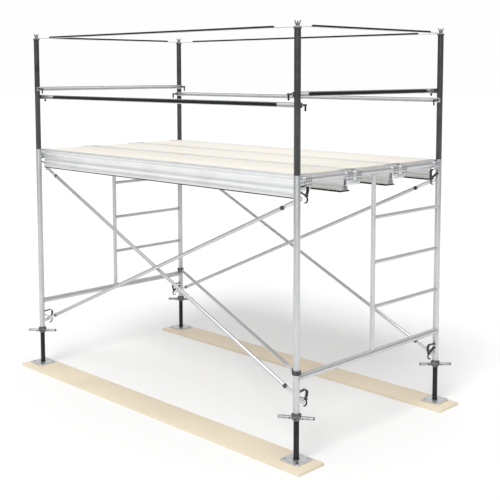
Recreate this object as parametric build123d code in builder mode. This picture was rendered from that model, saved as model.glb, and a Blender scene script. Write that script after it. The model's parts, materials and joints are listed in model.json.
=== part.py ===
"""Walk-in frame scaffold bay on screw jacks, with hook-on planks and guard rails.

Origin: floor level, at the middle of the four legs.  X runs along the bay, Y across the
end frames (ladder side at +Y), Z up.  Millimetres.
"""
import os
from math import atan2, cos, degrees, hypot, radians, sin

from build123d import *

os.makedirs("parts", exist_ok=True)

# ---- driving dimensions ---------------------------------------------------------------
bay_length = 2860.0        # leg centre to leg centre along X
frame_width = 1524.0       # leg centre to leg centre along Y (5 ft)
frame_height = 1515.0      # leg length (5 ft, less the nuts' seats)
leg_bottom = 300.0         # leg foot above the floor with the jacks half wound out
leg_od = 42.9
leg_wall = 2.7

board_size = (3110.0, 236.0, 21.0)
board_x = 20.0             # board centres, along the bay
board_offsets = {"front": -780.0, "back": 737.0}

plate_side = 152.0
plate_thick = 12.0
plate_corner_r = 16.0
plate_hole_pitch = 104.0
plate_hole_d = 10.0

screw_od = 36.0
screw_bore = 26.0
screw_length = 600.0

nut_height = 39.0
cup_depth = 20.0           # how far the leg foot stands in the nut
cup_clearance = 1.0
nut_arm_reach = 116.0
nut_arm_width = 26.0
nut_arm_height = 22.0
nut_arm_rise = 6.0         # underside of the arms above the nut's
# nut outside as (radius, height above its underside)
nut_profile = [(25, 0), (29, 9), (33, 18), (33, 37), (31, 39)]
nut_arm_angles = {"front_right": 32.0, "front_left": 40.0, "back_right": 45.0, "back_left": 40.0}

member_od = 42.0           # transoms and ledgers
member_wall = 2.7
ledger_rise = 249.0        # ledger centre above the leg foot
transom_drop = 30.0        # transom centre below the leg top
inner_post_od = 32.0
rung_od = 26.0
light_wall = 2.3           # wall of inner posts, rungs and braces
rung_rise = 562.0          # lowest rung above the leg foot
rung_pitch = 305.0
rung_count = 3

stud_d = 12.0
stud_reach = 74.0          # leg centre to stud tip
low_stud_rise = 80.0       # low stud above the leg foot
high_stud_drop = 148.0     # high stud below the leg top

brace_od = 26.0
brace_inset = {"falling": 62.0, "rising": 34.0}   # brace centre line in from the leg centre
lug_width = 26.0
lug_thick = 5.0
lug_length = 160.0         # stud centre to the sleeve
sleeve_length = 18.0
sleeve_od = 29.0

plan_brace_rise = 284.0    # plan brace centre above the leg foot
plan_end_length = 165.0

plank_pitch = 495.0
plank_width = 490.0
plank_length = 2770.0
plank_depth = 150.0
plank_top_wall = 38.0      # width of a side rail's top box
panel_thick = 12.0
header_depth = 44.0
crossbar_places = (-1080.0, -540.0, 0.0, 540.0, 1080.0)

hook_width = 60.0
hook_wall = 8.95
hook_near = 54.0           # plank edge to hook centre, near hook
hook_far = 455.0           # plank edge to hook centre, far hook
hook_tip_drop = 39.0       # hook tip below the transom centre

lock_near = 84.0           # plank edge to the wind lock's near side
lock_far = 150.0
lock_drop = 84.0           # top of a wind lock below the deck
lock_thick = 8.0
lock_length = 118.0
guide_near = 12.0          # plank edge to the near side of the wind lock's guide plate
guide_far = 157.0
guide_drop = 113.0         # bottom of a guide plate below the deck
guide_thick = 6.0
guide_back = 3.0           # guide plate's face behind the plank's end
slot_play = 1.0            # guide slot's clearance round a wind lock, across it
slot_lift = 2.0            # and above and below it

post_od = 42.0
post_wall = 3.0
post_height = 888.0
spigot_od = 36.5
spigot_length = 120.0
cap_d = 52.0
cap_thick = 8.0
cap_stud_d = 12.0
cap_stud_rise = 37.0

rail_width = 33.0
rail_thick = 4.0
rib_width = 22.0
rib_proud = 12.0
long_rib_length = 2470.0
side_rib_length = 1260.0
long_mid_rise = 427.0      # mid rail centres above the deck
side_mid_rise = 493.0
mid_rail_inset = 25.0      # mid rail centre plane in from the post centre
pin_d = 14.0
pin_reach = 81.0
pin_pivot = 73.0           # post centre to a toggle's pivot

running_gap = 0.3          # radial clearance of turning pieces

bolt_head_r = 9.0          # plan brace clamp bolts
bolt_head_thick = 6.0
bolt_tail = 2.0

wing_hub_r = 12.0
wing_hub_height = 16.0
wing_thick = 5.0
# wings as (distance from the nut's axis, height above its underside), one side then the other
wing_outline = [(-8, 6), (-12, 8), (-21, 35), (-15, 35), (-9, 16), (9, 16), (15, 35), (21, 35),
                (12, 8), (8, 6)]

# ---- levels and places worked out from them ---------------------------------------------
half_bay = bay_length / 2
half_width = frame_width / 2
board_top = board_size[2]
plate_top = board_top + plate_thick
leg_top = leg_bottom + frame_height
ledger_z = leg_bottom + ledger_rise
transom_z = leg_top - transom_drop
low_stud_z = leg_bottom + low_stud_rise
high_stud_z = leg_top - high_stud_drop
deck_top = leg_top
plank_half = plank_length / 2
cap_top = leg_top + post_height + cap_thick
plank_edges = [(i - 1) * plank_pitch - plank_width / 2 for i in range(3)]
leg_places = {
    "front_right": (half_bay, -half_width),
    "front_left": (-half_bay, -half_width),
    "back_right": (half_bay, half_width),
    "back_left": (-half_bay, half_width),
}


def save(piece, label):
    """Label a finished piece and write its own file."""
    piece.part.label = label
    export_step(piece.part, f"parts/{label}.step")


def leg_cutters(z, height):
    """Take the legs' outside out of whatever meets them, so that tubes are coped."""
    with Locations([(x, y, z) for x, y in leg_places.values()]):
        Cylinder(leg_od / 2, height, mode=Mode.SUBTRACT)


# ---- sole boards, base plates and jack screws -------------------------------------------
for side, board_y in board_offsets.items():
    with BuildPart() as board:
        with Locations((board_x, board_y, board_top / 2)):
            Box(*board_size)
        fillet(board.edges().group_by(Axis.Z)[-1], 2)
    save(board, f"sole_board_{side}")

with BuildPart() as base_plates:
    with BuildSketch(Plane.XY.offset(board_top)):
        with Locations(*leg_places.values()):
            RectangleRounded(plate_side, plate_side, plate_corner_r)
            with GridLocations(plate_hole_pitch, plate_hole_pitch, 2, 2):
                Circle(plate_hole_d / 2, mode=Mode.SUBTRACT)
    extrude(amount=plate_thick)
    rims = [edge for edge in base_plates.edges().group_by(Axis.Z)[-1] if not edge.is_closed]
    fillet(rims, 4)
save(base_plates, "base_plates")

with BuildPart() as jack_screws:
    with BuildSketch(Plane.XY.offset(plate_top)):
        with Locations(*leg_places.values()):
            Circle(screw_od / 2)
            Circle(screw_bore / 2, mode=Mode.SUBTRACT)
    extrude(amount=screw_length)
    chamfer(jack_screws.edges().group_by(Axis.Z)[-1], 1.5)
save(jack_screws, "jack_screws")

# ---- jack nuts: a cup that carries the leg foot, on a hub with two arms ------------------
cup_radius = leg_od / 2 + cup_clearance
hub_bottom = leg_bottom + cup_depth - nut_height

for corner, (x, y) in leg_places.items():
    with BuildPart() as jack_nut:
        with BuildSketch(Plane.XY.offset(hub_bottom + nut_arm_rise)):
            SlotOverall(2 * nut_arm_reach, nut_arm_width)
        extrude(amount=nut_arm_height)
        fillet(jack_nut.edges().filter_by(Axis.Z, reverse=True), 5)
        with BuildSketch(Plane.XZ):
            with BuildLine():
                Polyline([(r, hub_bottom + rise) for r, rise in
                          ((0, 0), *nut_profile, (0, nut_height))], close=True)
            make_face()
        revolve(axis=Axis.Z)
        with BuildSketch(Plane.XY.offset(hub_bottom)):
            Circle(screw_od / 2 + running_gap)
        extrude(amount=nut_height, mode=Mode.SUBTRACT)
        with BuildSketch(Plane.XY.offset(leg_bottom)):
            Circle(cup_radius)
        extrude(amount=cup_depth, mode=Mode.SUBTRACT)
    jack_nut.part.locate(Location((x, y, 0), (0, 0, nut_arm_angles[corner])))
    save(jack_nut, f"jack_nut_{corner}")

# ---- end frames ---------------------------------------------------------------------------
for end, x in (("right", half_bay), ("left", -half_bay)):
    with BuildPart() as legs:
        with BuildSketch(Plane.XY.offset(leg_bottom)):
            with Locations((x, -half_width), (x, half_width)):
                Circle(leg_od / 2)
                Circle(leg_od / 2 - leg_wall, mode=Mode.SUBTRACT)
        extrude(amount=frame_height)
    save(legs, f"frame_legs_{end}")

for label, z in (("frame_transoms", transom_z), ("frame_ledgers", ledger_z)):
    with BuildPart() as members:
        with BuildSketch(Plane.XZ):
            with Locations((half_bay, z), (-half_bay, z)):
                Circle(member_od / 2)
                Circle(member_od / 2 - member_wall, mode=Mode.SUBTRACT)
        extrude(amount=half_width, both=True)
        leg_cutters(z, 2 * member_od)
    save(members, label)

with BuildPart() as inner_posts:
    with BuildSketch(Plane.XY.offset(ledger_z)):
        with Locations((half_bay, 0), (-half_bay, 0)):
            Circle(inner_post_od / 2)
            Circle(inner_post_od / 2 - light_wall, mode=Mode.SUBTRACT)
    extrude(amount=transom_z - ledger_z)
    with Locations([(x, 0, z) for x in (half_bay, -half_bay) for z in (ledger_z, transom_z)]):
        Cylinder(member_od / 2, 2 * member_od, rotation=(90, 0, 0), mode=Mode.SUBTRACT)
save(inner_posts, "frame_inner_posts")

with BuildPart() as rungs:
    with BuildSketch(Plane.XZ.offset(-half_width)):
        with Locations([(x, leg_bottom + rung_rise + i * rung_pitch)
                        for x in (half_bay, -half_bay) for i in range(rung_count)]):
            Circle(rung_od / 2)
            Circle(rung_od / 2 - light_wall, mode=Mode.SUBTRACT)
    extrude(amount=half_width)
    with Locations([(x, 0, (leg_bottom + leg_top) / 2) for x in (half_bay, -half_bay)]):
        Cylinder(inner_post_od / 2, frame_height, mode=Mode.SUBTRACT)
    leg_cutters((leg_bottom + leg_top) / 2, frame_height)
save(rungs, "frame_rungs")

# ---- brace studs and their drop locks -------------------------------------------------------
# Each lock is drawn in a leg's YZ plane: s is the distance in from the leg centre, and
# rise is the height above the stud.
stud_places = [(corner, level, x, y, z)
               for corner, (x, y) in leg_places.items()
               for level, z in (("low", low_stud_z), ("high", high_stud_z))]
bracket_route = [(17, 74), (80, 80), (99, 66), (97, 42), (86, 16), (17, 50)]
bracket_width = 20.0
latch_width = 10.0
strap_thick = 5.0
pivot_s, pivot_rise = 86.0, 16.0
pivot_pin_d = 6.0
knuckle_r = 8.0
claw_s, claw_rise, claw_r = 76.0, -9.0, 19.5

with BuildPart() as brace_studs:
    for _, _, x, y, z in stud_places:
        inward = -1 if y > 0 else 1
        with BuildSketch(Plane((x, y, z), x_dir=(1, 0, 0), z_dir=(0, inward, 0))):
            Circle(stud_d / 2)
        extrude(amount=stud_reach)
    leg_cutters((leg_bottom + leg_top) / 2, frame_height)
    chamfer(brace_studs.edges().filter_by(GeomType.CIRCLE), 1)
save(brace_studs, "brace_studs")

with BuildPart() as lock_brackets:
    for _, _, x, y, z in stud_places:
        inward = -1 if y > 0 else 1
        lock_plane = Plane((x, y, z), x_dir=(0, inward, 0), z_dir=(inward, 0, 0))
        with BuildSketch(lock_plane):
            with BuildLine():
                FilletPolyline(*bracket_route, radius=7)
            trace(line_width=strap_thick)
            with Locations((pivot_s, pivot_rise)):
                Circle(knuckle_r)
        extrude(amount=bracket_width / 2, both=True)
        with BuildSketch(lock_plane):
            with Locations((pivot_s, pivot_rise)):
                Circle(knuckle_r + 2.5)
        extrude(amount=latch_width / 2 + running_gap, both=True, mode=Mode.SUBTRACT)
        with BuildSketch(lock_plane):
            with Locations((pivot_s, pivot_rise)):
                Circle(pivot_pin_d / 2)
        extrude(amount=bracket_width / 2, both=True)
    leg_cutters((leg_bottom + leg_top) / 2, frame_height)
save(lock_brackets, "lock_brackets")

for corner, level, x, y, z in stud_places:
    inward = -1 if y > 0 else 1
    with BuildPart() as brace_lock:
        with BuildSketch(Plane((x, y, z), x_dir=(0, inward, 0), z_dir=(inward, 0, 0))):
            with BuildLine():
                CenterArc((claw_s, claw_rise), claw_r, 62, -182)
            trace(line_width=strap_thick)
            with Locations((pivot_s, pivot_rise)):
                Circle(knuckle_r)
                Circle(pivot_pin_d / 2 + running_gap, mode=Mode.SUBTRACT)
        extrude(amount=latch_width / 2, both=True)
    save(brace_lock, f"brace_lock_{corner}_{level}")

# ---- cross braces -----------------------------------------------------------------------------
# A falling brace drops and a rising brace climbs when the side is seen from outside, left
# to right; the back pair is the front pair turned half round about Z.
brace_drop = high_stud_z - low_stud_z
brace_run = hypot(bay_length, brace_drop)
brace_slope = atan2(brace_drop, bay_length)
brace_axes = {}
for side, out in (("front", 1), ("back", -1)):
    for kind, sense in (("falling", -1), ("rising", 1)):
        start_z = high_stud_z if kind == "falling" else low_stud_z
        start = (-out * half_bay, -out * (half_width - brace_inset[kind]), start_z)
        along = (out * cos(brace_slope), 0, sense * sin(brace_slope))
        brace_axes[f"{side}_{kind}"] = Plane(start, x_dir=(0, 1, 0), z_dir=along)

tube_start = lug_length + sleeve_length
for name, axis_plane in brace_axes.items():
    with BuildPart() as cross_brace:
        with BuildSketch(axis_plane.offset(tube_start)):
            Circle(brace_od / 2)
            Circle(brace_od / 2 - light_wall, mode=Mode.SUBTRACT)
        extrude(amount=brace_run - 2 * tube_start)
    save(cross_brace, f"cross_brace_{name}")

with BuildPart() as cross_brace_lugs:
    for axis_plane in brace_axes.values():
        flat = Plane(axis_plane.origin, x_dir=axis_plane.z_dir, z_dir=axis_plane.x_dir)
        for eye_at, body_at in ((0, lug_length / 2), (brace_run, brace_run - lug_length / 2)):
            with BuildSketch(flat):
                with Locations((body_at, 0)):
                    Rectangle(lug_length, lug_width)
                with Locations((eye_at, 0)):
                    Circle(lug_width / 2)
                    Circle(stud_d / 2 + 0.5, mode=Mode.SUBTRACT)
            extrude(amount=lug_thick / 2, both=True)
save(cross_brace_lugs, "cross_brace_lugs")

with BuildPart() as cross_brace_sleeves:
    for axis_plane in brace_axes.values():
        for start in (lug_length, brace_run - tube_start):
            with BuildSketch(axis_plane.offset(start)):
                Circle(sleeve_od / 2)
            extrude(amount=sleeve_length)
    chamfer(cross_brace_sleeves.edges().filter_by(GeomType.CIRCLE), 1.5)
save(cross_brace_sleeves, "cross_brace_sleeves")

# ---- plan brace, flat across the bay from the back left leg to the front right leg -------------
plan_z = leg_bottom + plan_brace_rise
plan_run = hypot(bay_length, frame_width)
plan_angle = degrees(atan2(-frame_width, bay_length))
plan_start = (-half_bay, half_width, plan_z)
plan_dir = (cos(radians(plan_angle)), sin(radians(plan_angle)), 0)
plan_axis = Plane(plan_start, x_dir=(0, 0, 1), z_dir=plan_dir)
plan_flat = Plane(plan_start, x_dir=plan_dir, z_dir=(plan_dir[1], -plan_dir[0], 0))
clamp_height = 25.0
clamp_outer = 29.0
fork_reach = 62.0
fork_width = 24.0
tongue_thick = 8.0
tongue_start = 34.0
clamp_bolt_at = 50.0
clamp_bolt_d = 10.0

with BuildPart() as plan_brace:
    with BuildSketch(plan_axis.offset(plan_end_length)):
        Circle(brace_od / 2)
        Circle(brace_od / 2 - light_wall, mode=Mode.SUBTRACT)
    extrude(amount=plan_run - 2 * plan_end_length)
    for near, far in ((tongue_start, plan_end_length),
                      (plan_run - plan_end_length, plan_run - tongue_start)):
        with BuildSketch(plan_flat):
            with Locations(((near + far) / 2, 0)):
                RectangleRounded(far - near, brace_od - 2, 3)
        extrude(amount=tongue_thick / 2, both=True)
    with BuildSketch(plan_flat):
        with Locations((clamp_bolt_at, 0), (plan_run - clamp_bolt_at, 0)):
            Circle(clamp_bolt_d / 2 + 0.5)
    extrude(amount=tongue_thick, both=True, mode=Mode.SUBTRACT)
save(plan_brace, "plan_brace")

with BuildPart() as plan_brace_clamps:
    with BuildSketch(Plane.XY.offset(plan_z - clamp_height / 2)):
        for x, y, turn in ((-half_bay, half_width, plan_angle),
                           (half_bay, -half_width, plan_angle + 180)):
            with Locations(Location((x, y), turn)):
                Circle(clamp_outer)
                with Locations((fork_reach / 2, 0)):
                    Rectangle(fork_reach, fork_width)
                with Locations((fork_reach / 2 + 31, 0)):
                    Rectangle(fork_reach, tongue_thick + 1, mode=Mode.SUBTRACT)
                with Locations((-clamp_outer, 0)):
                    Rectangle(22, 12)
                Circle(leg_od / 2, mode=Mode.SUBTRACT)
    extrude(amount=clamp_height)
    with BuildSketch(plan_flat):
        with Locations((clamp_bolt_at, 0), (plan_run - clamp_bolt_at, 0)):
            Circle(clamp_bolt_d / 2 + 0.5)
    extrude(amount=fork_width, both=True, mode=Mode.SUBTRACT)
    with BuildSketch(plan_flat):
        with Locations((clamp_bolt_at, 0), (plan_run - clamp_bolt_at, 0)):
            Circle(clamp_bolt_d / 2)
    extrude(amount=fork_width / 2 + bolt_head_thick + bolt_tail, both=True)
    for face_at in (fork_width / 2, -fork_width / 2 - bolt_head_thick):
        with BuildSketch(plan_flat.offset(face_at)):
            with Locations((clamp_bolt_at, 0), (plan_run - clamp_bolt_at, 0)):
                RegularPolygon(bolt_head_r, 6)
        extrude(amount=bolt_head_thick)
save(plan_brace_clamps, "plan_brace_clamps")

# ---- hook-on planks -------------------------------------------------------------------------------
rail_outline = [
    (0, 0), (38, 0), (38, -46), (10, -46), (10, -117), (26, -117), (26, -144), (46, -144),
    (46, -150), (0, -150), (0, -117), (4, -117), (4, -105), (0, -105), (0, -84), (4, -84),
    (4, -46), (0, -46), (0, -25), (2, -23), (0, -21),
]
panel_width = plank_width - 2 * plank_top_wall

for name, edge in zip(("front", "middle", "back"), plank_edges):
    with BuildPart() as panel:
        with Locations((0, edge + plank_width / 2, deck_top - panel_thick / 2)):
            Box(plank_length, panel_width, panel_thick)
    save(panel, f"deck_panel_{name}")

with BuildPart() as deck_side_rails:
    for edge in plank_edges:
        for y, way in ((edge, 1), (edge + plank_width, -1)):
            with BuildSketch(Plane.YZ):
                with BuildLine():
                    Polyline([(y + way * v, deck_top + w) for v, w in rail_outline], close=True)
                make_face()
                with Locations((y + way * plank_top_wall / 2, deck_top - 23)):
                    Rectangle(28, 38, mode=Mode.SUBTRACT)
                with Locations((y + way * 13, deck_top - 130.5)):
                    Rectangle(18, 19, mode=Mode.SUBTRACT)
            extrude(amount=plank_half, both=True)
save(deck_side_rails, "deck_side_rails")

header_width = 40.0
header_z = deck_top - panel_thick - header_depth / 2
with BuildPart() as deck_headers:
    for edge in plank_edges:
        for end in (1, -1):
            with BuildSketch(Plane.XZ.offset(-edge - plank_width / 2)):
                with Locations((end * (plank_half - header_width / 2), header_z)):
                    Rectangle(header_width, header_depth)
                with Locations((end * (plank_half - header_width / 2 - 4), header_z)):
                    Rectangle(header_width, header_depth - 8, mode=Mode.SUBTRACT)
            extrude(amount=panel_width / 2, both=True)
            side_edge = edge if end > 0 else edge + plank_width
            guide_top = header_z - header_depth / 2
            guide_bottom = deck_top - guide_drop
            with BuildSketch(Plane.YZ.offset(end * (plank_half - guide_back - guide_thick / 2))):
                with Locations((side_edge + end * (guide_near + guide_far) / 2,
                                (guide_top + guide_bottom) / 2)):
                    Rectangle(guide_far - guide_near, guide_top - guide_bottom)
                with Locations((side_edge + end * (lock_near + lock_far) / 2,
                                deck_top - lock_drop - lock_thick / 2)):
                    Rectangle(lock_far - lock_near + 2 * slot_play, lock_thick + 2 * slot_lift,
                              mode=Mode.SUBTRACT)
            extrude(amount=guide_thick / 2, both=True)
save(deck_headers, "deck_headers")

with BuildPart() as deck_crossbars:
    for edge in plank_edges:
        with BuildSketch(Plane.XZ.offset(-edge - plank_width / 2)):
            with Locations([(x, deck_top - panel_thick - 15) for x in crossbar_places]):
                Rectangle(40, 30)
                Rectangle(35, 25, mode=Mode.SUBTRACT)
        extrude(amount=panel_width / 2, both=True)
save(deck_crossbars, "deck_crossbars")

hook_inner = member_od / 2 + 0.05
hook_outer = hook_inner + hook_wall
with BuildPart() as deck_hooks:
    for edge in plank_edges:
        for end in (1, -1):
            for inset in (hook_near, hook_far):
                hook_y = edge + inset if end > 0 else edge + plank_width - inset
                with BuildSketch(Plane.XZ.offset(-hook_y)):
                    with Locations((end * half_bay, transom_z)):
                        Circle(hook_outer)
                        with Locations((0, -hook_outer / 2)):
                            Rectangle(2 * hook_outer, hook_outer, mode=Mode.SUBTRACT)
                    with Locations((end * (half_bay + hook_outer - hook_wall / 2),
                                    transom_z - hook_tip_drop / 2)):
                        Rectangle(hook_wall, hook_tip_drop)
                    block = half_bay - plank_half
                    with Locations((end * (half_bay - block / 2), transom_z)):
                        Rectangle(block, 2 * (deck_top - transom_z))
                    with Locations((end * half_bay, transom_z)):
                        Circle(hook_inner, mode=Mode.SUBTRACT)
                        with Locations((0, -hook_outer / 2 - 6)):
                            Rectangle(2 * hook_inner, hook_outer + 12, mode=Mode.SUBTRACT)
                extrude(amount=hook_width / 2, both=True)
    chamfer(deck_hooks.edges().filter_by(Axis.Y).group_by(Axis.Z)[0], 2)
save(deck_hooks, "deck_hooks")

# ---- wind locks: tongues that slide out below the transoms, drawn slid in -------------------------
lock_tip = plank_half - guide_back + slot_play
for end_name, end in (("right", 1), ("left", -1)):
    with BuildPart() as wind_locks:
        for edge in plank_edges:
            side_edge = edge if end > 0 else edge + plank_width
            with Locations((end * (lock_tip - lock_length / 2),
                            side_edge + end * (lock_near + lock_far) / 2,
                            deck_top - lock_drop - lock_thick / 2)):
                Box(lock_length, lock_far - lock_near, lock_thick)
        fillet(wind_locks.edges().filter_by(Axis.Y), 1.5)
    save(wind_locks, f"wind_locks_{end_name}")

# ---- guard posts, caps and rail pins -----------------------------------------------------------------
with BuildPart() as guard_posts:
    with BuildSketch(Plane.XY.offset(leg_top)):
        with Locations(*leg_places.values()):
            Circle(post_od / 2)
    extrude(amount=post_height)
    with BuildSketch(Plane.XY.offset(leg_top)):
        with Locations(*leg_places.values()):
            Circle(spigot_od / 2)
    extrude(amount=-spigot_length)
    with BuildSketch(Plane.XY.offset(leg_top - spigot_length)):
        with Locations(*leg_places.values()):
            Circle(spigot_od / 2 - post_wall)
    extrude(amount=spigot_length + post_height, mode=Mode.SUBTRACT)
save(guard_posts, "guard_posts")

with BuildPart() as guard_post_caps:
    for bottom, height, radius in (
            (cap_top - cap_thick - 20, 20, spigot_od / 2 - post_wall - 0.1),
            (cap_top - cap_thick, cap_thick, cap_d / 2),
            (cap_top, cap_stud_rise, cap_stud_d / 2)):
        with BuildSketch(Plane.XY.offset(bottom)):
            with Locations(*leg_places.values()):
                Circle(radius)
        extrude(amount=height)
save(guard_post_caps, "guard_post_caps")

# Pins point along Y for the long rails and along X for the side rails.  Each has a slotted
# tip with a cross pin, where its toggle hangs.
toggle_thick = 4.4
toggle_width = 14.0
toggle_length = 46.0
toggle_pin_d = 4.0
pin_places = []
for corner, (x, y) in leg_places.items():
    inward_x = -1 if x > 0 else 1
    inward_y = -1 if y > 0 else 1
    pin_places.append((f"{corner}_long", (x, y, deck_top + long_mid_rise), (0, inward_y, 0)))
    pin_places.append((f"{corner}_side", (x, y, deck_top + side_mid_rise), (inward_x, 0, 0)))

with BuildPart() as rail_pins:
    for _, origin, inward in pin_places:
        with BuildSketch(Plane(origin, x_dir=(0, 0, 1), z_dir=inward)):
            Circle(pin_d / 2)
        extrude(amount=pin_reach)
        with BuildSketch(Plane(origin, x_dir=(0, 0, 1), z_dir=inward).offset(pin_reach)):
            Rectangle(2 * pin_d, toggle_thick + 2 * running_gap)
        extrude(amount=-18, mode=Mode.SUBTRACT)
        hinge_line = Vector(inward).cross(Vector(0, 0, 1))
        with BuildSketch(Plane(Vector(origin) + Vector(inward) * pin_pivot,
                               x_dir=(0, 0, 1), z_dir=hinge_line)):
            Circle(toggle_pin_d / 2)
        extrude(amount=pin_d / 2 - 1, both=True)
    with Locations([(x, y, deck_top + post_height / 2) for x, y in leg_places.values()]):
        Cylinder(post_od / 2, post_height, mode=Mode.SUBTRACT)
save(rail_pins, "rail_pins")

for name, origin, inward in pin_places:
    hinge_line = Vector(inward).cross(Vector(0, 0, 1))
    with BuildPart() as rail_toggle:
        with BuildSketch(Plane(Vector(origin) + Vector(inward) * pin_pivot,
                               x_dir=(0, 0, 1), z_dir=hinge_line)):
            with Locations((toggle_width / 2 - toggle_length / 2, 0)):
                SlotOverall(toggle_length, toggle_width)
            Circle(toggle_pin_d / 2 + running_gap, mode=Mode.SUBTRACT)
        extrude(amount=toggle_thick / 2, both=True)
    save(rail_toggle, f"rail_toggle_{name}")

# ---- guard rails: flat strips with a long half-round rib -----------------------------------------------
long_strip = bay_length + 40
side_strip = frame_width + 40


def ribbed_rails(planes, strip_length, rib_length, hole_d):
    """Strips with two end holes, each with its rib proud of it along its plane's +Z."""
    with BuildPart() as rails:
        for plane in planes:
            with BuildSketch(plane.offset(rail_thick)):
                SlotOverall(rib_length, rib_width)
            extrude(amount=rib_proud)
        fillet([edge for edge in rails.edges() if min(
            abs(plane.to_local_coords(edge.center()).Z - rail_thick - rib_proud)
            for plane in planes) < 0.1], rib_width / 2 - 1.5)
        for plane in planes:
            with BuildSketch(plane):
                RectangleRounded(strip_length, rail_width, 8)
                with Locations((strip_length / 2 - 20, 0), (20 - strip_length / 2, 0)):
                    Circle(hole_d / 2, mode=Mode.SUBTRACT)
            extrude(amount=rail_thick)
    return rails


def side_planes(y_out, z, facing_up=False):
    """A plane for each long side, facing out or up."""
    return [Plane((0, way * y_out, z), x_dir=(1, 0, 0), z_dir=(0, 0, 1) if facing_up else (0, way, 0))
            for way in (-1, 1)]


def end_planes(x_out, z, facing_up=False):
    """A plane for each end, facing out or up."""
    return [Plane((way * x_out, 0, z), x_dir=(0, 1, 0), z_dir=(0, 0, 1) if facing_up else (way, 0, 0))
            for way in (-1, 1)]


strip_inset = mid_rail_inset + rail_thick / 2
long_mid_rails = ribbed_rails(side_planes(half_width - strip_inset, deck_top + long_mid_rise),
                              long_strip, long_rib_length, pin_d + 2)
save(long_mid_rails, "long_mid_rails")

side_mid_rails = ribbed_rails(end_planes(half_bay - strip_inset, deck_top + side_mid_rise),
                              side_strip, side_rib_length, pin_d + 2)
save(side_mid_rails, "side_mid_rails")

long_top_rails = ribbed_rails(side_planes(half_width, cap_top, facing_up=True),
                              long_strip, long_rib_length, cap_stud_d + 1)
save(long_top_rails, "long_top_rails")

side_top_rails = ribbed_rails(end_planes(half_bay, cap_top + rail_thick, facing_up=True),
                              side_strip, side_rib_length, cap_stud_d + 1)
save(side_top_rails, "side_top_rails")

# ---- wing nuts on the cap studs ------------------------------------------------------------------------
wing_nut_bottom = cap_top + 2 * rail_thick + 0.2
for corner, (x, y) in leg_places.items():
    with BuildPart() as wing_nut:
        with BuildSketch(Plane.XY.offset(wing_nut_bottom)):
            Circle(wing_hub_r)
        extrude(amount=wing_hub_height, taper=8)
        with BuildSketch(Plane.XZ):
            with BuildLine():
                Polyline([(u, wing_nut_bottom + w) for u, w in wing_outline], close=True)
            make_face()
        extrude(amount=wing_thick / 2, both=True)
        with BuildSketch(Plane.XY.offset(wing_nut_bottom)):
            Circle(cap_stud_d / 2 + running_gap)
        extrude(amount=cap_stud_rise, mode=Mode.SUBTRACT)
    wing_nut.part.locate(Location((x, y, 0), (0, 0, nut_arm_angles[corner])))
    save(wing_nut, f"wing_nut_{corner}")
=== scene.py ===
"""Walk-in frame scaffold bay: the finished pieces, built around its CAD frame.  Metres."""
import json
from contextlib import contextmanager
from math import atan2, cos, hypot, pi, radians, sin, sqrt

import bmesh
import bpy
from bpy.props import FloatProperty, FloatVectorProperty, IntProperty, PointerProperty
from bpy.types import Operator, Panel, PropertyGroup
from mathutils import Matrix, Vector


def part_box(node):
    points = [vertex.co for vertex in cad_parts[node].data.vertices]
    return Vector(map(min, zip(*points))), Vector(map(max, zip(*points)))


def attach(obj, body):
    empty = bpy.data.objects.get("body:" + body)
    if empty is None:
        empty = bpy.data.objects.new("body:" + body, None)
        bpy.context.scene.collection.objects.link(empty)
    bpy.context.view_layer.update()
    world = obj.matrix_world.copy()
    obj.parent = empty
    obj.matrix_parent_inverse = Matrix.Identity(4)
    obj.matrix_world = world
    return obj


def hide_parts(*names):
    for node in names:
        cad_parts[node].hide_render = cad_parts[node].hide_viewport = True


bl_info = {
    "name": "Walk-in Frame Scaffold",
    "version": (1, 0, 0),
    "blender": (4, 5, 0),
    "location": "View3D > Sidebar > Scaffold",
    "description": "Builds a walk-in frame scaffold bay on screw jacks around its CAD frame",
    "category": "Add Mesh",
}

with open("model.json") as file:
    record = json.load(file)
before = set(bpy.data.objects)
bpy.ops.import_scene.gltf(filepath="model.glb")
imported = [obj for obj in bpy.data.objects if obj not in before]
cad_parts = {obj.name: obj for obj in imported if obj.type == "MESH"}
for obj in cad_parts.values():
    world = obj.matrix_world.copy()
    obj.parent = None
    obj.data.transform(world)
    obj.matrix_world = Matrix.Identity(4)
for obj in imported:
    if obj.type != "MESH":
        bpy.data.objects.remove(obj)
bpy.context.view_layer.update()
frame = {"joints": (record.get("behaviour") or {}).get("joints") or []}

# ---- places, read from the frame ------------------------------------------------------------
X, Y, Z = Vector((1, 0, 0)), Vector((0, 1, 0)), Vector((0, 0, 1))

leg_low, leg_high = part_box("frame_legs_right")
leg_radius = (leg_high.x - leg_low.x) / 2
half_bay = (leg_high.x + leg_low.x) / 2
half_width = leg_high.y - leg_radius
leg_foot = leg_low.z
leg_top = leg_high.z
corners = {
    "front_right": Vector((half_bay, -half_width, 0)),
    "front_left": Vector((-half_bay, -half_width, 0)),
    "back_right": Vector((half_bay, half_width, 0)),
    "back_left": Vector((-half_bay, half_width, 0)),
}
pivots = {joint["name"]: Vector(joint["pos_m"]) for joint in frame["joints"] if "pos_m" in joint}

plate_low, plate_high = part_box("base_plates")
plate_half = plate_high.x - half_bay
screw_low, screw_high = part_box("jack_screws")
screw_radius = screw_high.x - half_bay
nut_low, nut_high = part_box("jack_nut_front_right")
transom_low, transom_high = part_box("frame_transoms")
transom_radius = transom_high.x - half_bay
transom_z = (transom_low.z + transom_high.z) / 2
ledger_low, ledger_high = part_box("frame_ledgers")
ledger_z = (ledger_low.z + ledger_high.z) / 2
_, post_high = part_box("frame_inner_posts")
inner_post_radius = post_high.y
rung_low, rung_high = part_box("frame_rungs")
rung_radius = rung_high.x - half_bay
stud_low, stud_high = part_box("brace_studs")
stud_radius = 0.006
low_stud_z = stud_low.z + stud_radius
high_stud_z = stud_high.z - stud_radius
stud_reach = half_width - max(abs(y) for y in (stud_low.y, stud_high.y))


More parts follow.
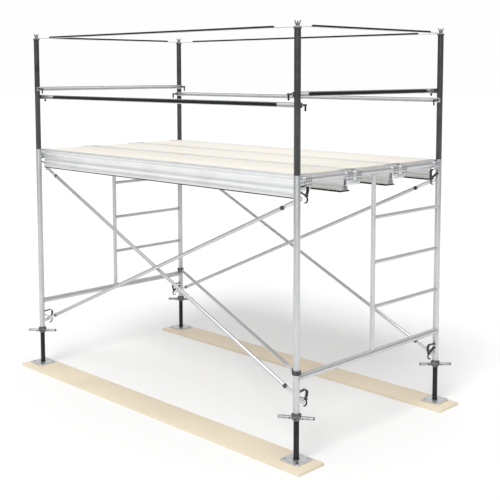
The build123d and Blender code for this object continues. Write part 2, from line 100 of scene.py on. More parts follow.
def inward(place):
    """+1 for a front corner and -1 for a back one: the way its brace studs point."""
    return 1 if place.y < 0 else -1


def about(place):
    """Move a piece made at the origin, facing +Y, to a corner, facing into the bay."""
    turn = 0 if place.y < 0 else pi
    return Matrix.Translation(place) @ Matrix.Rotation(turn, 4, "Z")


# ---- sizes and colours that a user may change -------------------------------------------------
class ScaffoldSizes(PropertyGroup):
    """Sizes that the CAD frame leaves open."""

    tube_wall: FloatProperty(name="Tube Wall", description="Wall of the frame's steel tubes",
                             default=0.0027, min=0.001, unit="LENGTH")
    rim: FloatProperty(name="Rim", description="Rounding of sawn tube ends",
                       default=0.0006, min=0.0001, unit="LENGTH")
    weld: FloatProperty(name="Weld Bead", description="Half thickness of a weld bead",
                        default=0.0028, min=0.001, unit="LENGTH")
    tube_sides: IntProperty(name="Tube Sides", description="Facets round a tube",
                            default=40, min=12, max=96)
    jack_pitch: FloatProperty(name="Jack Pitch", description="Rise of the jack screw's thread in a turn",
                              default=0.008, min=0.002, unit="LENGTH")
    jack_thread: FloatProperty(name="Jack Thread", description="Depth of the jack screw's thread",
                               default=0.0016, min=0.0005, unit="LENGTH")


class ScaffoldColours(PropertyGroup):
    """Colours of the scaffold's finishes and of the floor."""

    timber: FloatVectorProperty(name="Timber", description="Sole boards", subtype="COLOR",
                                default=(0.83, 0.76, 0.64), min=0, max=1)
    plywood: FloatVectorProperty(name="Plywood", description="Deck panels", subtype="COLOR",
                                 default=(0.87, 0.84, 0.77), min=0, max=1)
    zinc: FloatVectorProperty(name="Galvanised", description="Hot-dip galvanised tube", subtype="COLOR",
                              default=(0.66, 0.67, 0.68), min=0, max=1)
    bright_zinc: FloatVectorProperty(name="Bright Zinc", description="Plated strip and plate",
                                     subtype="COLOR", default=(0.74, 0.75, 0.76), min=0, max=1)
    aluminium: FloatVectorProperty(name="Aluminium", description="Extruded plank rails", subtype="COLOR",
                                   default=(0.9, 0.905, 0.91), min=0, max=1)
    cast_aluminium: FloatVectorProperty(name="Cast Aluminium", description="Plank hooks",
                                        subtype="COLOR", default=(0.76, 0.77, 0.78), min=0, max=1)
    charcoal: FloatVectorProperty(name="Charcoal", description="Guard posts", subtype="COLOR",
                                  default=(0.03, 0.031, 0.034), min=0, max=1)
    black: FloatVectorProperty(name="Black", description="Jack screws, toggles and rail ribs",
                               subtype="COLOR", default=(0.016, 0.016, 0.018), min=0, max=1)
    casting: FloatVectorProperty(name="Grey Casting", description="Jack nuts and wing nuts",
                                 subtype="COLOR", default=(0.19, 0.193, 0.2), min=0, max=1)
    floor: FloatVectorProperty(name="Floor", description="Studio floor", subtype="COLOR",
                               default=(0.92, 0.92, 0.92), min=0, max=1)


def sizes():
    return bpy.context.scene.scaffold_sizes


def colours():
    return bpy.context.scene.scaffold_colours


# ---- selecting and editing --------------------------------------------------------------------
def alone(piece):
    """Select one piece and nothing else, in object mode."""
    if bpy.context.mode != "OBJECT":
        bpy.ops.object.mode_set(mode="OBJECT")
    bpy.ops.object.select_all(action="DESELECT")
    if piece:
        piece.select_set(True)
        bpy.context.view_layer.objects.active = piece
    return piece


def settled(piece):
    """Put a piece's place, turn and size in its mesh."""
    alone(piece)
    bpy.ops.object.transform_apply(location=True, rotation=True, scale=True)
    return piece


@contextmanager
def editing(piece):
    """Edit mode on one piece, with all of it selected at first."""
    alone(piece)
    bpy.ops.object.mode_set(mode="EDIT")
    bpy.ops.mesh.select_all(action="SELECT")
    yield piece
    bpy.ops.object.mode_set(mode="OBJECT")


def choose(kind, test):
    """In edit mode, select the faces, edges or points that the test accepts, and nothing else."""
    bpy.context.tool_settings.mesh_select_mode = (kind == "POINT", kind == "EDGE", kind == "FACE")
    bpy.ops.mesh.select_all(action="DESELECT")
    mesh = bpy.context.edit_object.data
    shape = bmesh.from_edit_mesh(mesh)
    for part in {"POINT": shape.verts, "EDGE": shape.edges, "FACE": shape.faces}[kind]:
        if test(part):
            part.select_set(True)
    shape.select_flush_mode()
    bmesh.update_edit_mesh(mesh)


def moved(piece, matrix):
    """Move a piece's mesh, leaving its object at the origin."""
    piece.matrix_world = matrix
    return settled(piece)


def copied(piece, matrix=Matrix.Identity(4)):
    """A copy with its own mesh, moved from the first one's place."""
    alone(piece)
    bpy.ops.object.duplicate(linked=False)
    return moved(bpy.context.object, matrix)


def removed(piece):
    bpy.data.objects.remove(piece)


def joined(parts):
    """Several pieces as one."""
    parts = list(parts)
    alone(parts[0])
    for part in parts[1:]:
        part.select_set(True)
    if len(parts) > 1:
        bpy.ops.object.join()
    return parts[0]


def applied(piece, kind, **settings):
    """Add a modifier, set it and apply it."""
    alone(piece)
    modifier = piece.modifiers.new(kind.title(), kind)
    for name, value in settings.items():
        setattr(modifier, name, value)
    bpy.ops.object.modifier_apply(modifier=modifier.name)
    return piece


def cut(piece, *cutters):
    """Take the cutters out of a piece."""
    for cutter in cutters:
        applied(piece, "BOOLEAN", operation="DIFFERENCE", solver="EXACT", object=cutter)
        removed(cutter)
    return piece


def fused(piece, *others):
    """One closed skin over a piece and others that it overlaps."""
    for other in others:
        applied(piece, "BOOLEAN", operation="UNION", solver="EXACT", object=other)
        removed(other)
    return piece


def smoothed(piece, angle=34):
    alone(piece)
    bpy.ops.object.shade_smooth_by_angle(angle=radians(angle))
    return piece


def softened(piece, width=0.0008, segments=2, angle=40):
    """Round a piece's hard edges and shade the rest smooth."""
    applied(piece, "BEVEL", width=width, segments=segments, limit_method="ANGLE",
            angle_limit=radians(angle), use_clamp_overlap=True, harden_normals=False)
    return smoothed(piece)


# ---- shapes to start from -----------------------------------------------------------------------
def block(low, high):
    """A box between two corners."""
    low, high = Vector(low), Vector(high)
    alone(None)
    bpy.ops.mesh.primitive_cube_add(size=1, location=(low + high) / 2, scale=high - low)
    return settled(bpy.context.object)


def rod(start, end, radius, sides=None, ends="NGON"):
    """A round bar between two points."""
    start, end = Vector(start), Vector(end)
    alone(None)
    bpy.ops.mesh.primitive_cylinder_add(
        vertices=sides or sizes().tube_sides, radius=radius, depth=(end - start).length,
        end_fill_type=ends, location=(start + end) / 2,
        rotation=(end - start).to_track_quat("Z", "Y").to_euler())
    return settled(bpy.context.object)


def tube(start, end, radius, wall=None):
    """An open tube with a wall and softened rims."""
    piece = rod(start, end, radius, ends="NOTHING")
    applied(piece, "SOLIDIFY", thickness=wall or sizes().tube_wall, offset=-1, use_rim=True)
    return softened(piece, sizes().rim, 2, 60)


def drawn(points, closed=True):
    """A flat outline, or an open line, drawn by extruding one point from corner to corner."""
    points = [Vector(point) for point in points]
    alone(None)
    bpy.ops.mesh.primitive_plane_add(size=0.01)
    piece = bpy.context.object
    with editing(piece):
        bpy.context.tool_settings.mesh_select_mode = (True, False, False)
        bpy.ops.mesh.merge(type="CENTER")
        bpy.ops.transform.translate(value=points[0])
        for here, there in zip(points, points[1:]):
            bpy.ops.mesh.extrude_region_move(TRANSFORM_OT_translate={"value": there - here})
        if closed:
            bpy.ops.mesh.select_all(action="SELECT")
            bpy.ops.mesh.edge_face_add()
    return piece


def plate(points, way):
    """A closed outline with thickness."""
    piece = drawn(points)
    with editing(piece):
        bpy.ops.mesh.extrude_region_move(TRANSFORM_OT_translate={"value": way})
        bpy.ops.mesh.select_all(action="SELECT")
        bpy.ops.mesh.normals_make_consistent(inside=False)
    return piece


def strap(points, way, thickness):
    """A bent strap: an open line swept along `way` and thickened evenly to both sides."""
    piece = drawn(points, closed=False)
    with editing(piece):
        bpy.context.tool_settings.mesh_select_mode = (False, True, False)
        bpy.ops.mesh.select_all(action="SELECT")
        bpy.ops.mesh.extrude_region_move(TRANSFORM_OT_translate={"value": way})
    return applied(piece, "SOLIDIFY", thickness=thickness, offset=0, use_even_offset=True)


def lathed(profile, steps=40):
    """A closed (radius, height) profile turned about Z."""
    piece = drawn([(radius, 0, height) for radius, height in profile], closed=False)
    ends = {tuple(round(c, 6) for c in (r, 0, h)) for r, h in (profile[0], profile[-1])}
    with editing(piece):
        choose("POINT", lambda point: tuple(round(c, 6) for c in point.co) in ends)
        bpy.ops.mesh.edge_face_add()
        bpy.ops.mesh.select_all(action="SELECT")
        bpy.ops.mesh.spin(steps=steps, angle=2 * pi, center=(0, 0, 0), axis=(0, 0, 1))
        bpy.ops.mesh.select_all(action="SELECT")
        bpy.ops.mesh.remove_doubles(threshold=0.00001)
        bpy.ops.mesh.normals_make_consistent(inside=False)
    return piece


def arc(centre, radius, start, end, steps):
    """Points round part of a circle, angles in degrees."""
    return [(centre[0] + radius * cos(radians(start + (end - start) * i / steps)),
             centre[1] + radius * sin(radians(start + (end - start) * i / steps)))
            for i in range(steps + 1)]


def rounded(points, radius, steps=4, closed=False):
    """A line of 2-D points with its corners turned into arcs."""
    points = [Vector(point) for point in points]
    made = []
    for i, corner in enumerate(points):
        if not closed and i in (0, len(points) - 1):
            made.append(corner)
            continue
        back = (points[i - 1] - corner).normalized()
        ahead = (points[(i + 1) % len(points)] - corner).normalized()
        half_turn = back.angle(ahead) / 2
        reach = radius / abs(sin(half_turn) / cos(half_turn))
        centre = corner + (back + ahead).normalized() * radius / sin(half_turn)
        first, last = corner + back * reach - centre, corner + ahead * reach - centre
        swing = first.angle_signed(last)
        for step in range(steps + 1):
            turn = Matrix.Rotation(-swing * step / steps, 2)
            made.append(centre + turn @ first)
    return made


def slot_outline(length, width, steps=8):
    """A bar with half-round ends, about the origin."""
    straight = (length - width) / 2
    return (arc((straight, 0), width / 2, -90, 90, steps)
            + arc((-straight, 0), width / 2, 90, 270, steps))


def threaded(bottom, top, radius, depth, pitch, steps=20):
    """A screw thread between two heights: one turn's profile wound up and sawn off."""
    root = radius - depth
    turn = [(root, 0), (root, 0.10), (radius, 0.30), (radius, 0.74), (root, 0.94), (root, 1)]
    turns = int((top - bottom) / pitch) + 3
    piece = drawn([(r, 0, share * pitch) for r, share in turn], closed=False)
    applied(piece, "SCREW", axis="Z", angle=2 * pi, screw_offset=pitch, iterations=turns,
            steps=steps, render_steps=steps, use_merge_vertices=True, merge_threshold=0.00001,
            use_smooth_shade=False)
    moved(piece, Matrix.Translation((0, 0, bottom - pitch)))
    with editing(piece):
        bpy.ops.mesh.remove_doubles(threshold=0.00001)
        bpy.ops.mesh.select_all(action="SELECT")
        bpy.ops.mesh.bisect(plane_co=(0, 0, bottom), plane_no=(0, 0, 1), use_fill=True,
                            clear_inner=True)
        bpy.ops.mesh.select_all(action="SELECT")
        bpy.ops.mesh.bisect(plane_co=(0, 0, top), plane_no=(0, 0, 1), use_fill=True,
                            clear_outer=True)
        bpy.ops.mesh.select_all(action="SELECT")
        bpy.ops.mesh.normals_make_consistent(inside=False)
    return smoothed(piece, 28)


def weld(centre, along, across, host_radius, radius):
    """A rippled bead where a tube that runs `along` meets a round host; across is level on the host."""
    bead = sizes().weld
    bpy.ops.object.select_all(action="DESELECT")
    bpy.ops.mesh.primitive_torus_add(major_segments=48, minor_segments=8,
                                     major_radius=radius + bead * 0.35, minor_radius=bead)
    piece = bpy.context.object
    along, across = Vector(along), Vector(across)
    up = along.cross(across)
    for point in piece.data.vertices:
        x, y, z = point.co
        turn = atan2(y, x)
        swell = 1 + 0.16 * sin(24 * turn)
        ring = hypot(x, y)
        ring = radius + (ring - radius) * swell
        a, b = ring * cos(turn), ring * sin(turn)
        reach = sqrt(max(host_radius ** 2 - min(abs(a), host_radius) ** 2, 0))
        point.co = Vector(centre) + across * a + up * b + along * (reach + z * swell)
    with editing(piece):
        bpy.ops.mesh.normals_make_consistent(inside=False)
    return smoothed(piece, 60)


def painted(piece, finish, test):
    """Give the faces that the test accepts a second material."""
    if not piece.data.materials:
        piece.data.materials.append(None)
    piece.data.materials.append(finish)
    index = len(piece.data.materials) - 1
    for face in piece.data.polygons:
        if test(face):
            face.material_index = index


def hand_over(piece, name, body, finish, nodes=()):
    """Name a finished piece and put it on its body, in place of CAD nodes."""
    piece.name = name
    piece.data.name = name
    if piece.data.materials:
        piece.data.materials[0] = finish
    else:
        piece.data.materials.append(finish)
    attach(piece, body)
    if nodes:
        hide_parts(*nodes)
    return piece


# ---- materials -----------------------------------------------------------------------------------
class Finish:
    """A procedural material being put together around its Principled shader."""

    def __init__(self, name, metallic=0.0):
        self.material = bpy.data.materials.new(name)
        self.material.use_nodes = True
        self.tree = self.material.node_tree
        self.shader = self.tree.nodes["Principled BSDF"]
        self.shader.inputs["Metallic"].default_value = metallic
        self.place = self.tree.nodes.new("ShaderNodeTexCoord").outputs["Object"]

    def add(self, kind, inputs=None, **settings):
        """A node with its inputs set or linked."""
        made = self.tree.nodes.new("ShaderNode" + kind)
        for name, value in settings.items():
            setattr(made, name, value)
        for socket, value in (inputs or {}).items():
            if isinstance(value, bpy.types.NodeSocket):
                self.tree.links.new(value, made.inputs[socket])
            else:
                made.inputs[socket].default_value = value
        return made

    def stretched(self, scale):
        """Object coordinates stretched by a different amount along each axis."""
        return self.add("Mapping", {"Vector": self.place, "Scale": scale}).outputs["Vector"]

    def noise(self, scale, detail=3.0, rough=0.55, place=None):
        made = self.add("TexNoise", {"Vector": place or self.place, "Scale": scale,
                                     "Detail": detail, "Roughness": rough})
        return made.outputs["Fac"]

    def between(self, value, low, high, to_low=0.0, to_high=1.0):
        """A value's range mapped to another, clamped."""
        made = self.add("MapRange", {"Value": value, "From Min": low, "From Max": high,
                                     "To Min": to_low, "To Max": to_high})
        return made.outputs["Result"]

    def maths(self, operation, a, b=0.0):
        return self.add("Math", {0: a, 1: b}, operation=operation).outputs[0]

    def mixed(self, share, a, b, blend="MIX"):
        """Two colours mixed by a share."""
        made = self.add("Mix", data_type="RGBA", blend_type=blend)
        for socket, value in ((made.inputs[0], share), (made.inputs[6], a), (made.inputs[7], b)):
            if isinstance(value, bpy.types.NodeSocket):
                self.tree.links.new(value, socket)
            else:
                socket.default_value = value
        return made.outputs[2]

    def worn_edges(self, radius, low=0.02, high=0.2):
        """How near a surface is to a hard edge, broken up by noise: 0 away from it, 1 on it."""
        bevel = self.add("Bevel", {"Radius": radius}, samples=4)
        geometry = self.add("NewGeometry")
        dot = self.add("VectorMath", {0: bevel.outputs["Normal"], 1: geometry.outputs["Normal"]},
                       operation="DOT_PRODUCT")
        off = self.maths("SUBTRACT", 1.0, dot.outputs["Value"])
        patchy = self.maths("MULTIPLY", off, self.between(self.noise(90.0), 0.35, 0.65, 0.2, 1.6))
        return self.between(patchy, low, high)

    def colour(self, value):
        self.tree.links.new(value, self.shader.inputs["Base Color"])

    def roughness(self, value):
        self.tree.links.new(value, self.shader.inputs["Roughness"])

    def bump(self, height, strength, distance, normal=None):
        inputs = {"Height": height, "Strength": strength, "Distance": distance}
        if normal:
            inputs["Normal"] = normal
        made = self.add("Bump", inputs)
        self.tree.links.new(made.outputs["Normal"], self.shader.inputs["Normal"])
        return made.outputs["Normal"]


def tone(colour, factor=1.0):
    """A colour made lighter or darker, with its alpha."""
    return tuple(min(c * factor, 1.0) for c in colour) + (1.0,)


def finish(name):
    """The named material, made the first time it is asked for."""
    return bpy.data.materials.get(name) or finishes[name](name)


def zinc_finish(name, colour, low_rough, high_rough, spangle=110.0):
    """Galvanised steel: dull crystal patches, faint runs and fine grain."""
    made = Finish(name, metallic=0.85)
    crystals = made.add("TexVoronoi", {"Vector": made.place, "Scale": spangle, "Randomness": 1.0})
    patches = made.between(crystals.outputs["Color"], 0.0, 1.0)
    clouds = made.noise(6.0, 4.0)
    runs = made.noise(14.0, 2.0, place=made.stretched((3.0, 3.0, 0.4)))
    base = made.mixed(patches, tone(colour, 0.95), tone(colour, 1.03))
    base = made.mixed(made.between(clouds, 0.42, 0.7, 0.0, 0.45), base, tone(colour, 0.85))
    made.colour(made.mixed(made.between(runs, 0.6, 0.75, 0.0, 0.3), base, tone(colour, 1.08)))
    made.roughness(made.between(made.maths("ADD", made.maths("MULTIPLY", patches, 0.4), clouds),
                                0.3, 1.1, low_rough, high_rough))
    grain = made.noise(900.0, 2.0)
    made.bump(made.maths("ADD", made.maths("MULTIPLY", grain, 0.5), clouds), 0.18, 0.0006)
    return made.material


def zinc(name):
    return zinc_finish(name, colours().zinc, 0.28, 0.52)


def bright_zinc(name):
    return zinc_finish(name, colours().bright_zinc, 0.22, 0.4, 160.0)


def weld_finish(name):
    """Weld metal under zinc: darker, ripply and rough."""
    made = Finish(name, metallic=0.8)
    clouds = made.noise(120.0, 3.0)
    made.colour(made.mixed(clouds, tone(colours().zinc, 0.55), tone(colours().zinc, 0.95)))
    made.roughness(made.between(clouds, 0.3, 0.7, 0.35, 0.65))
    made.bump(made.noise(420.0, 2.0), 0.4, 0.0006)
    return made.material


def timber(name):
    """Planed softwood: long grain, growth rings on the ends, knots, a little dirt, and sides painted darker
    than the top as painted shade.
    """
    made = Finish(name)
    base = colours().timber
    warp = made.noise(1.6, 2.0, place=made.stretched((0.5, 3.0, 3.0)))
    bent = made.add("VectorMath", {0: made.stretched((0.35, 9.0, 9.0)), 1: (0.0, 0.0, 0.0)},
                    operation="ADD")
    shift = made.add("CombineXYZ", {"Y": made.maths("MULTIPLY", warp, 1.8),
                                    "Z": made.maths("MULTIPLY", warp, 0.9)})
    made.tree.links.new(shift.outputs["Vector"], bent.inputs[1])
    rings = made.add("TexWave", {"Vector": bent.outputs["Vector"], "Scale": 1.4, "Distortion": 3.2,
                                 "Detail": 3.0, "Detail Scale": 1.4},
                     wave_type="RINGS", rings_direction="X")
    fibre = made.noise(60.0, 4.0, 0.7, place=made.stretched((0.12, 5.0, 5.0)))
    knots = made.add("TexVoronoi", {"Vector": made.stretched((1.3, 6.0, 3.0)), "Scale": 1.0})
    knot = made.between(knots.outputs["Distance"], 0.05, 0.14, 1.0, 0.0)
    grain = made.mixed(rings.outputs["Fac"], tone(base, 1.05), tone(base, 0.8))
    grain = made.mixed(made.between(fibre, 0.45, 0.7, 0.0, 0.5), grain, tone(base, 0.66))
    grain = made.mixed(made.maths("MULTIPLY", knot, 0.75), grain, tone(base, 0.32))
    dirt = made.between(made.noise(4.0, 5.0), 0.55, 0.75, 0.0, 0.35)
    grain = made.mixed(dirt, grain, tone(base, 0.55))
    # Sides darker than the top (level is how far a face points up): painted shade, so the boards' sides read
    # apart from their tops.
    level = made.maths("ABSOLUTE", made.add("SeparateXYZ", {
        "Vector": made.add("NewGeometry").outputs["Normal"]}).outputs["Z"])
    grain = made.mixed(made.between(level, 0.4, 0.7, 0.85, 0.0), grain, tone(base, 0.52))
    wear = made.worn_edges(0.004)
    made.colour(made.mixed(made.maths("MULTIPLY", wear, 0.5), grain, tone(base, 0.6)))
    made.roughness(made.between(fibre, 0.3, 0.7, 0.62, 0.85))
    made.bump(made.maths("ADD", fibre, made.maths("MULTIPLY", rings.outputs["Fac"], 0.4)), 0.35, 0.0012)
    return made.material


def plywood(name):
    """Sealed plywood: a pale rotary-cut face, with plies where an edge shows."""
    made = Finish(name)
    base = colours().plywood
    figure = made.noise(2.2, 5.0, 0.6, place=made.stretched((0.5, 4.5, 4.5)))
    flow = made.noise(30.0, 3.0, 0.6, place=made.stretched((0.16, 3.0, 3.0)))
    face = made.mixed(made.between(figure, 0.35, 0.65), tone(base, 1.06), tone(base, 0.88))
    face = made.mixed(made.between(flow, 0.5, 0.75, 0.0, 0.4), face, tone(base, 0.76))
    height = made.add("SeparateXYZ", {"Vector": made.place}).outputs["Z"]
    plies = made.maths("SINE", made.maths("MULTIPLY", height, 2100.0))
    facing = made.add("SeparateXYZ", {"Vector": made.add("NewGeometry").outputs["Normal"]})
    level = made.maths("ABSOLUTE", facing.outputs["Z"])
    edge = made.between(level, 0.4, 0.7, 1.0, 0.0)
    stripe = made.mixed(made.between(plies, -0.3, 0.3), tone(base, 0.5), tone(base, 0.8))
    body = made.mixed(edge, face, stripe)
    scuffs = made.between(made.noise(9.0, 6.0, 0.7), 0.56, 0.72, 0.0, 0.4)
    made.colour(made.mixed(scuffs, body, tone(base, 0.7)))
    made.roughness(made.between(figure, 0.3, 0.7, 0.42, 0.62))
    made.bump(flow, 0.2, 0.0008)
    return made.material


def aluminium(name):
    """Mill-finish extrusion: die lines along the bar, with small scratches."""
    made = Finish(name, metallic=0.55)
    base = colours().aluminium
    lines = made.noise(160.0, 2.0, 0.5, place=made.stretched((0.006, 1.0, 1.0)))
    clouds = made.noise(5.0, 4.0)
    body = made.mixed(made.between(lines, 0.3, 0.7), tone(base, 0.9), tone(base, 1.06))
    made.colour(made.mixed(made.between(clouds, 0.5, 0.75, 0.0, 0.35), body, tone(base, 0.78)))
    made.roughness(made.between(lines, 0.3, 0.7, 0.26, 0.42))
    made.bump(lines, 0.15, 0.0004)
    return made.material


def cast_aluminium(name):
    """Sand-cast aluminium: pebbly skin, rubbed bright along its ribs."""
    made = Finish(name, metallic=0.8)
    base = colours().cast_aluminium
    skin = made.noise(260.0, 4.0, 0.65)
    clouds = made.noise(24.0, 3.0)
    body = made.mixed(made.between(clouds, 0.35, 0.7), tone(base, 1.0), tone(base, 0.7))
    rub = made.worn_edges(0.0025)
    made.colour(made.mixed(rub, body, tone(base, 1.2)))
    made.roughness(made.between(skin, 0.3, 0.7, 0.38, 0.6))
    made.bump(skin, 0.35, 0.0008)
    return made.material


def charcoal(name):
    """Satin charcoal paint: orange peel, dust and bare metal where it is knocked."""
    made = Finish(name, metallic=0.0)
    base = colours().charcoal
    clouds = made.noise(7.0, 4.0)
    body = made.mixed(made.between(clouds, 0.35, 0.7), tone(base, 0.8), tone(base, 1.7))
    chips = made.between(made.noise(46.0, 6.0, 0.7), 0.7, 0.74)
    knocked = made.maths("MAXIMUM", made.maths("MULTIPLY", chips, 0.5), made.worn_edges(0.002))
    made.colour(made.mixed(knocked, body, tone(colours().zinc, 0.6)))
    made.roughness(made.between(clouds, 0.3, 0.7, 0.3, 0.46))
    made.shader.inputs["Coat Weight"].default_value = 0.25
    made.shader.inputs["Coat Roughness"].default_value = 0.25
    made.bump(made.noise(320.0, 2.0), 0.12, 0.0006)
    return made.material


def black(name):
    """Black oxide steel with an oil film, rubbed to steel on its crests; also laid in holes and cast cells as
    painted shade.
    """
    made = Finish(name, metallic=0.6)
    base = colours().black
    clouds = made.noise(30.0, 4.0)
    body = made.mixed(made.between(clouds, 0.35, 0.7), tone(base, 0.8), tone(base, 2.2))
    rub = made.worn_edges(0.0012, 0.08, 0.5)
    made.colour(made.mixed(made.maths("MULTIPLY", rub, 0.5), body, tone(colours().zinc, 0.4)))
    made.roughness(made.between(clouds, 0.3, 0.7, 0.28, 0.48))
    made.bump(made.noise(500.0, 2.0), 0.15, 0.0004)
    return made.material


def dark_casting(name):
    """Black-painted steel fittings: rough skin, paint worn through at the edges."""
    made = Finish(name, metallic=0.3)
    base = colours().charcoal
    skin = made.noise(300.0, 4.0, 0.6)
    clouds = made.noise(35.0, 3.0)
    body = made.mixed(made.between(clouds, 0.35, 0.7), tone(base, 0.7), tone(base, 1.6))
    made.colour(made.mixed(made.worn_edges(0.0015), body, tone(colours().zinc, 0.5)))
    made.roughness(made.between(skin, 0.3, 0.7, 0.4, 0.62))
    made.bump(skin, 0.3, 0.0006)
    return made.material


def grey_casting(name, factor=1.0):
    """Galvanised malleable iron: lumpy skin with darker hollows."""
    made = Finish(name, metallic=0.75)
    base = tone(colours().casting, factor)[:3]
    skin = made.noise(240.0, 4.0, 0.65)
    clouds = made.noise(28.0, 3.0)
    body = made.mixed(made.between(clouds, 0.35, 0.7), tone(base, 0.75), tone(base, 1.25))
    made.colour(made.mixed(made.worn_edges(0.002), body, tone(base, 1.7)))
    made.roughness(made.between(skin, 0.3, 0.7, 0.36, 0.58))
    made.bump(skin, 0.4, 0.0008)
    return made.material


def pale_casting(name):
    return grey_casting(name, 2.3)


def black_rib_and_shade(name):
    """Black plastic cover strip: fine moulded grain, a few pale scuffs. Also painted along the plank rails'
    feet as painted shade.
    """
    made = Finish(name)
    base = colours().black
    clouds = made.noise(12.0, 4.0)
    scuffs = made.between(made.noise(60.0, 5.0, 0.7, place=made.stretched((0.1, 0.1, 1.0))), 0.62, 0.72)
    body = made.mixed(made.between(clouds, 0.35, 0.7), tone(base, 0.4), tone(base, 0.9))
    made.colour(made.mixed(made.maths("MULTIPLY", scuffs, 0.12), body, tone(base, 7.0)))
    made.roughness(made.between(clouds, 0.3, 0.7, 0.48, 0.62))
    made.shader.inputs["Specular IOR Level"].default_value = 0.2
    made.bump(made.noise(800.0, 2.0), 0.2, 0.0004)
    return made.material


def studio_floor(name):
    made = Finish(name)
    base = colours().floor
    made.colour(made.mixed(made.noise(0.6, 3.0), tone(base, 0.985), tone(base, 1.015)))
    made.roughness(made.between(made.noise(3.0), 0.3, 0.7, 0.7, 0.85))
    made.shader.inputs["Specular IOR Level"].default_value = 0.0
    return made.material


finishes = {
    "zinc": zinc, "bright_zinc": bright_zinc, "weld": weld_finish, "timber": timber,
    "plywood": plywood, "aluminium": aluminium, "cast_aluminium": cast_aluminium,
    "charcoal": charcoal, "black": black, "dark_casting": dark_casting,
    "grey_casting": grey_casting, "pale_casting": pale_casting, "black_rib_and_shade": black_rib_and_shade,
    "studio_floor": studio_floor,
}


# ---- the stage -----------------------------------------------------------------------------------------
class SCAFFOLD_OT_stage(Operator):
    """Set up the camera, the soft lights and the pale floor"""

    bl_idname = "scaffold.stage"
    bl_label = "Stage"

    camera_place: FloatVectorProperty(name="Camera", description="Where the camera stands",
                                      default=(5.266, -5.006, 2.443), subtype="TRANSLATION")
    azimuth: FloatProperty(name="Azimuth", description="Way the camera looks, from +Y towards -X",
                           default=radians(44.79), subtype="ANGLE")
    pitch: FloatProperty(name="Pitch", description="How far the camera looks down",
                         default=radians(5.22), subtype="ANGLE")
    roll: FloatProperty(name="Roll", description="Lean of the camera", default=radians(0.05),
                        subtype="ANGLE")
    lens: FloatProperty(name="Lens", description="Focal length on a 36 mm frame", default=67.97)
    shift: FloatVectorProperty(name="Shift", description="Sideways and upward shift of the lens",
                               default=(-0.0062, -0.1834), size=2)
    sun: FloatProperty(name="Sun", description="Strength of the soft sun", default=1.6)
    top: FloatProperty(name="Top", description="Brightness overhead", default=1.05)
    sides_high: FloatProperty(name="Sides", description="Brightness of the two bright sides",
                              default=0.62)
    sides_low: FloatProperty(name="Dark Sides", description="Brightness between the bright sides",
                             default=0.10)
    behind: FloatProperty(name="Backdrop", description="Brightness of the backdrop", default=0.99)

    def execute(self, context):
        alone(None)
        bpy.ops.object.camera_add(location=self.camera_place,
                                  rotation=(pi / 2 - self.pitch, self.roll, self.azimuth))
        camera = context.object
        camera.name = "camera"
        camera.data.lens = self.lens
        camera.data.shift_x, camera.data.shift_y = self.shift
        camera.data.clip_end = 200
        context.scene.camera = camera

        bpy.ops.mesh.primitive_grid_add(x_subdivisions=8, y_subdivisions=8, size=160)
        floor = context.object
        floor.name = "floor"
        floor.data.materials.append(finish("studio_floor"))

        alone(None)
        bpy.ops.object.light_add(type="SUN", location=(3, -6, 8))
        sun = context.object
        sun.name = "soft_sun"
        sun.data.energy = self.sun
        sun.data.angle = radians(28)
        sun.rotation_euler = Vector((-0.25, 0.62, -0.74)).to_track_quat("-Z", "Y").to_euler()
        self.soft_sky(context.scene)
        context.scene.view_settings.view_transform = "Standard"
        return {"FINISHED"}

    def soft_sky(self, scene):
        """A bright top and two bright sides for the metal to mirror, and plain white behind it all."""
        world = bpy.data.worlds.new("soft_sky")
        scene.world = world
        world.use_nodes = True
        nodes, links = world.node_tree.nodes, world.node_tree.links

        def add(kind, inputs, **settings):
            made = nodes.new("ShaderNode" + kind)
            for name, value in settings.items():
                setattr(made, name, value)
            for socket, value in inputs.items():
                if isinstance(value, bpy.types.NodeSocket):
                    links.new(value, made.inputs[socket])
                else:
                    made.inputs[socket].default_value = value
            return made

        place = add("TexCoord", {}).outputs["Generated"]
        height = add("SeparateXYZ", {"Vector": place}).outputs["Z"]
        top = add("MapRange", {"Value": height, "From Min": 0.1, "From Max": 0.95, "To Min": 0.0,
                               "To Max": 1.0}).outputs["Result"]
        toward = (sin(self.azimuth), -cos(self.azimuth), 0)
        facing = add("VectorMath", {0: place, 1: toward}, operation="DOT_PRODUCT").outputs["Value"]
        lobes = add("Math", {0: facing, 1: facing}, operation="MULTIPLY").outputs[0]
        sides = add("MapRange", {"Value": lobes, "From Min": 0.25, "From Max": 1.0, "To Min": self.sides_low,
                                 "To Max": self.sides_high}).outputs["Result"]
        shade = add("Mix", {0: top, 2: sides, 3: self.top}).outputs[0]
        seen = add("LightPath", {}).outputs["Is Camera Ray"]
        strength = add("Mix", {0: seen, 2: shade, 3: self.behind}).outputs[0]
        background = nodes["Background"]
        background.inputs["Color"].default_value = (1, 1, 1, 1)
        links.new(strength, background.inputs["Strength"])


# ---- the base: boards, plates, screws and nuts -----------------------------------------------------------
nut_turns = (32.0, 40.0, 45.0, 40.0)        # degrees, in the order of the corners


class SCAFFOLD_OT_boards(Operator):
    """Saw the two sole boards"""

    bl_idname = "scaffold.boards"
    bl_label = "Sole Boards"

    arris: FloatProperty(name="Arris", description="Rounding of the boards' long edges",
                         default=0.0025, unit="LENGTH")

    def execute(self, context):
        for side, seed in (("front", 3), ("back", 8)):
            low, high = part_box(f"sole_board_{side}")
            board = block(low, high)
            softened(board, self.arris, 3)
            with editing(board):
                for place in range(1, 16):
                    bpy.ops.mesh.select_all(action="SELECT")
                    x = low.x + (high.x - low.x) * place / 16
                    bpy.ops.mesh.bisect(plane_co=(x, 0, 0), plane_no=(1, 0, 0))
                choose("POINT", lambda point: low.x + 0.1 < point.co.x < high.x - 0.1
                       and point.co.z > low.z + 0.001)
                bpy.ops.transform.vertex_random(offset=0.0006, uniform=0.2, seed=seed)
            smoothed(board, 30)
            hand_over(board, f"board_{side}", "base", finish("timber"),
                      [f"sole_board_{side}"])
        return {"FINISHED"}


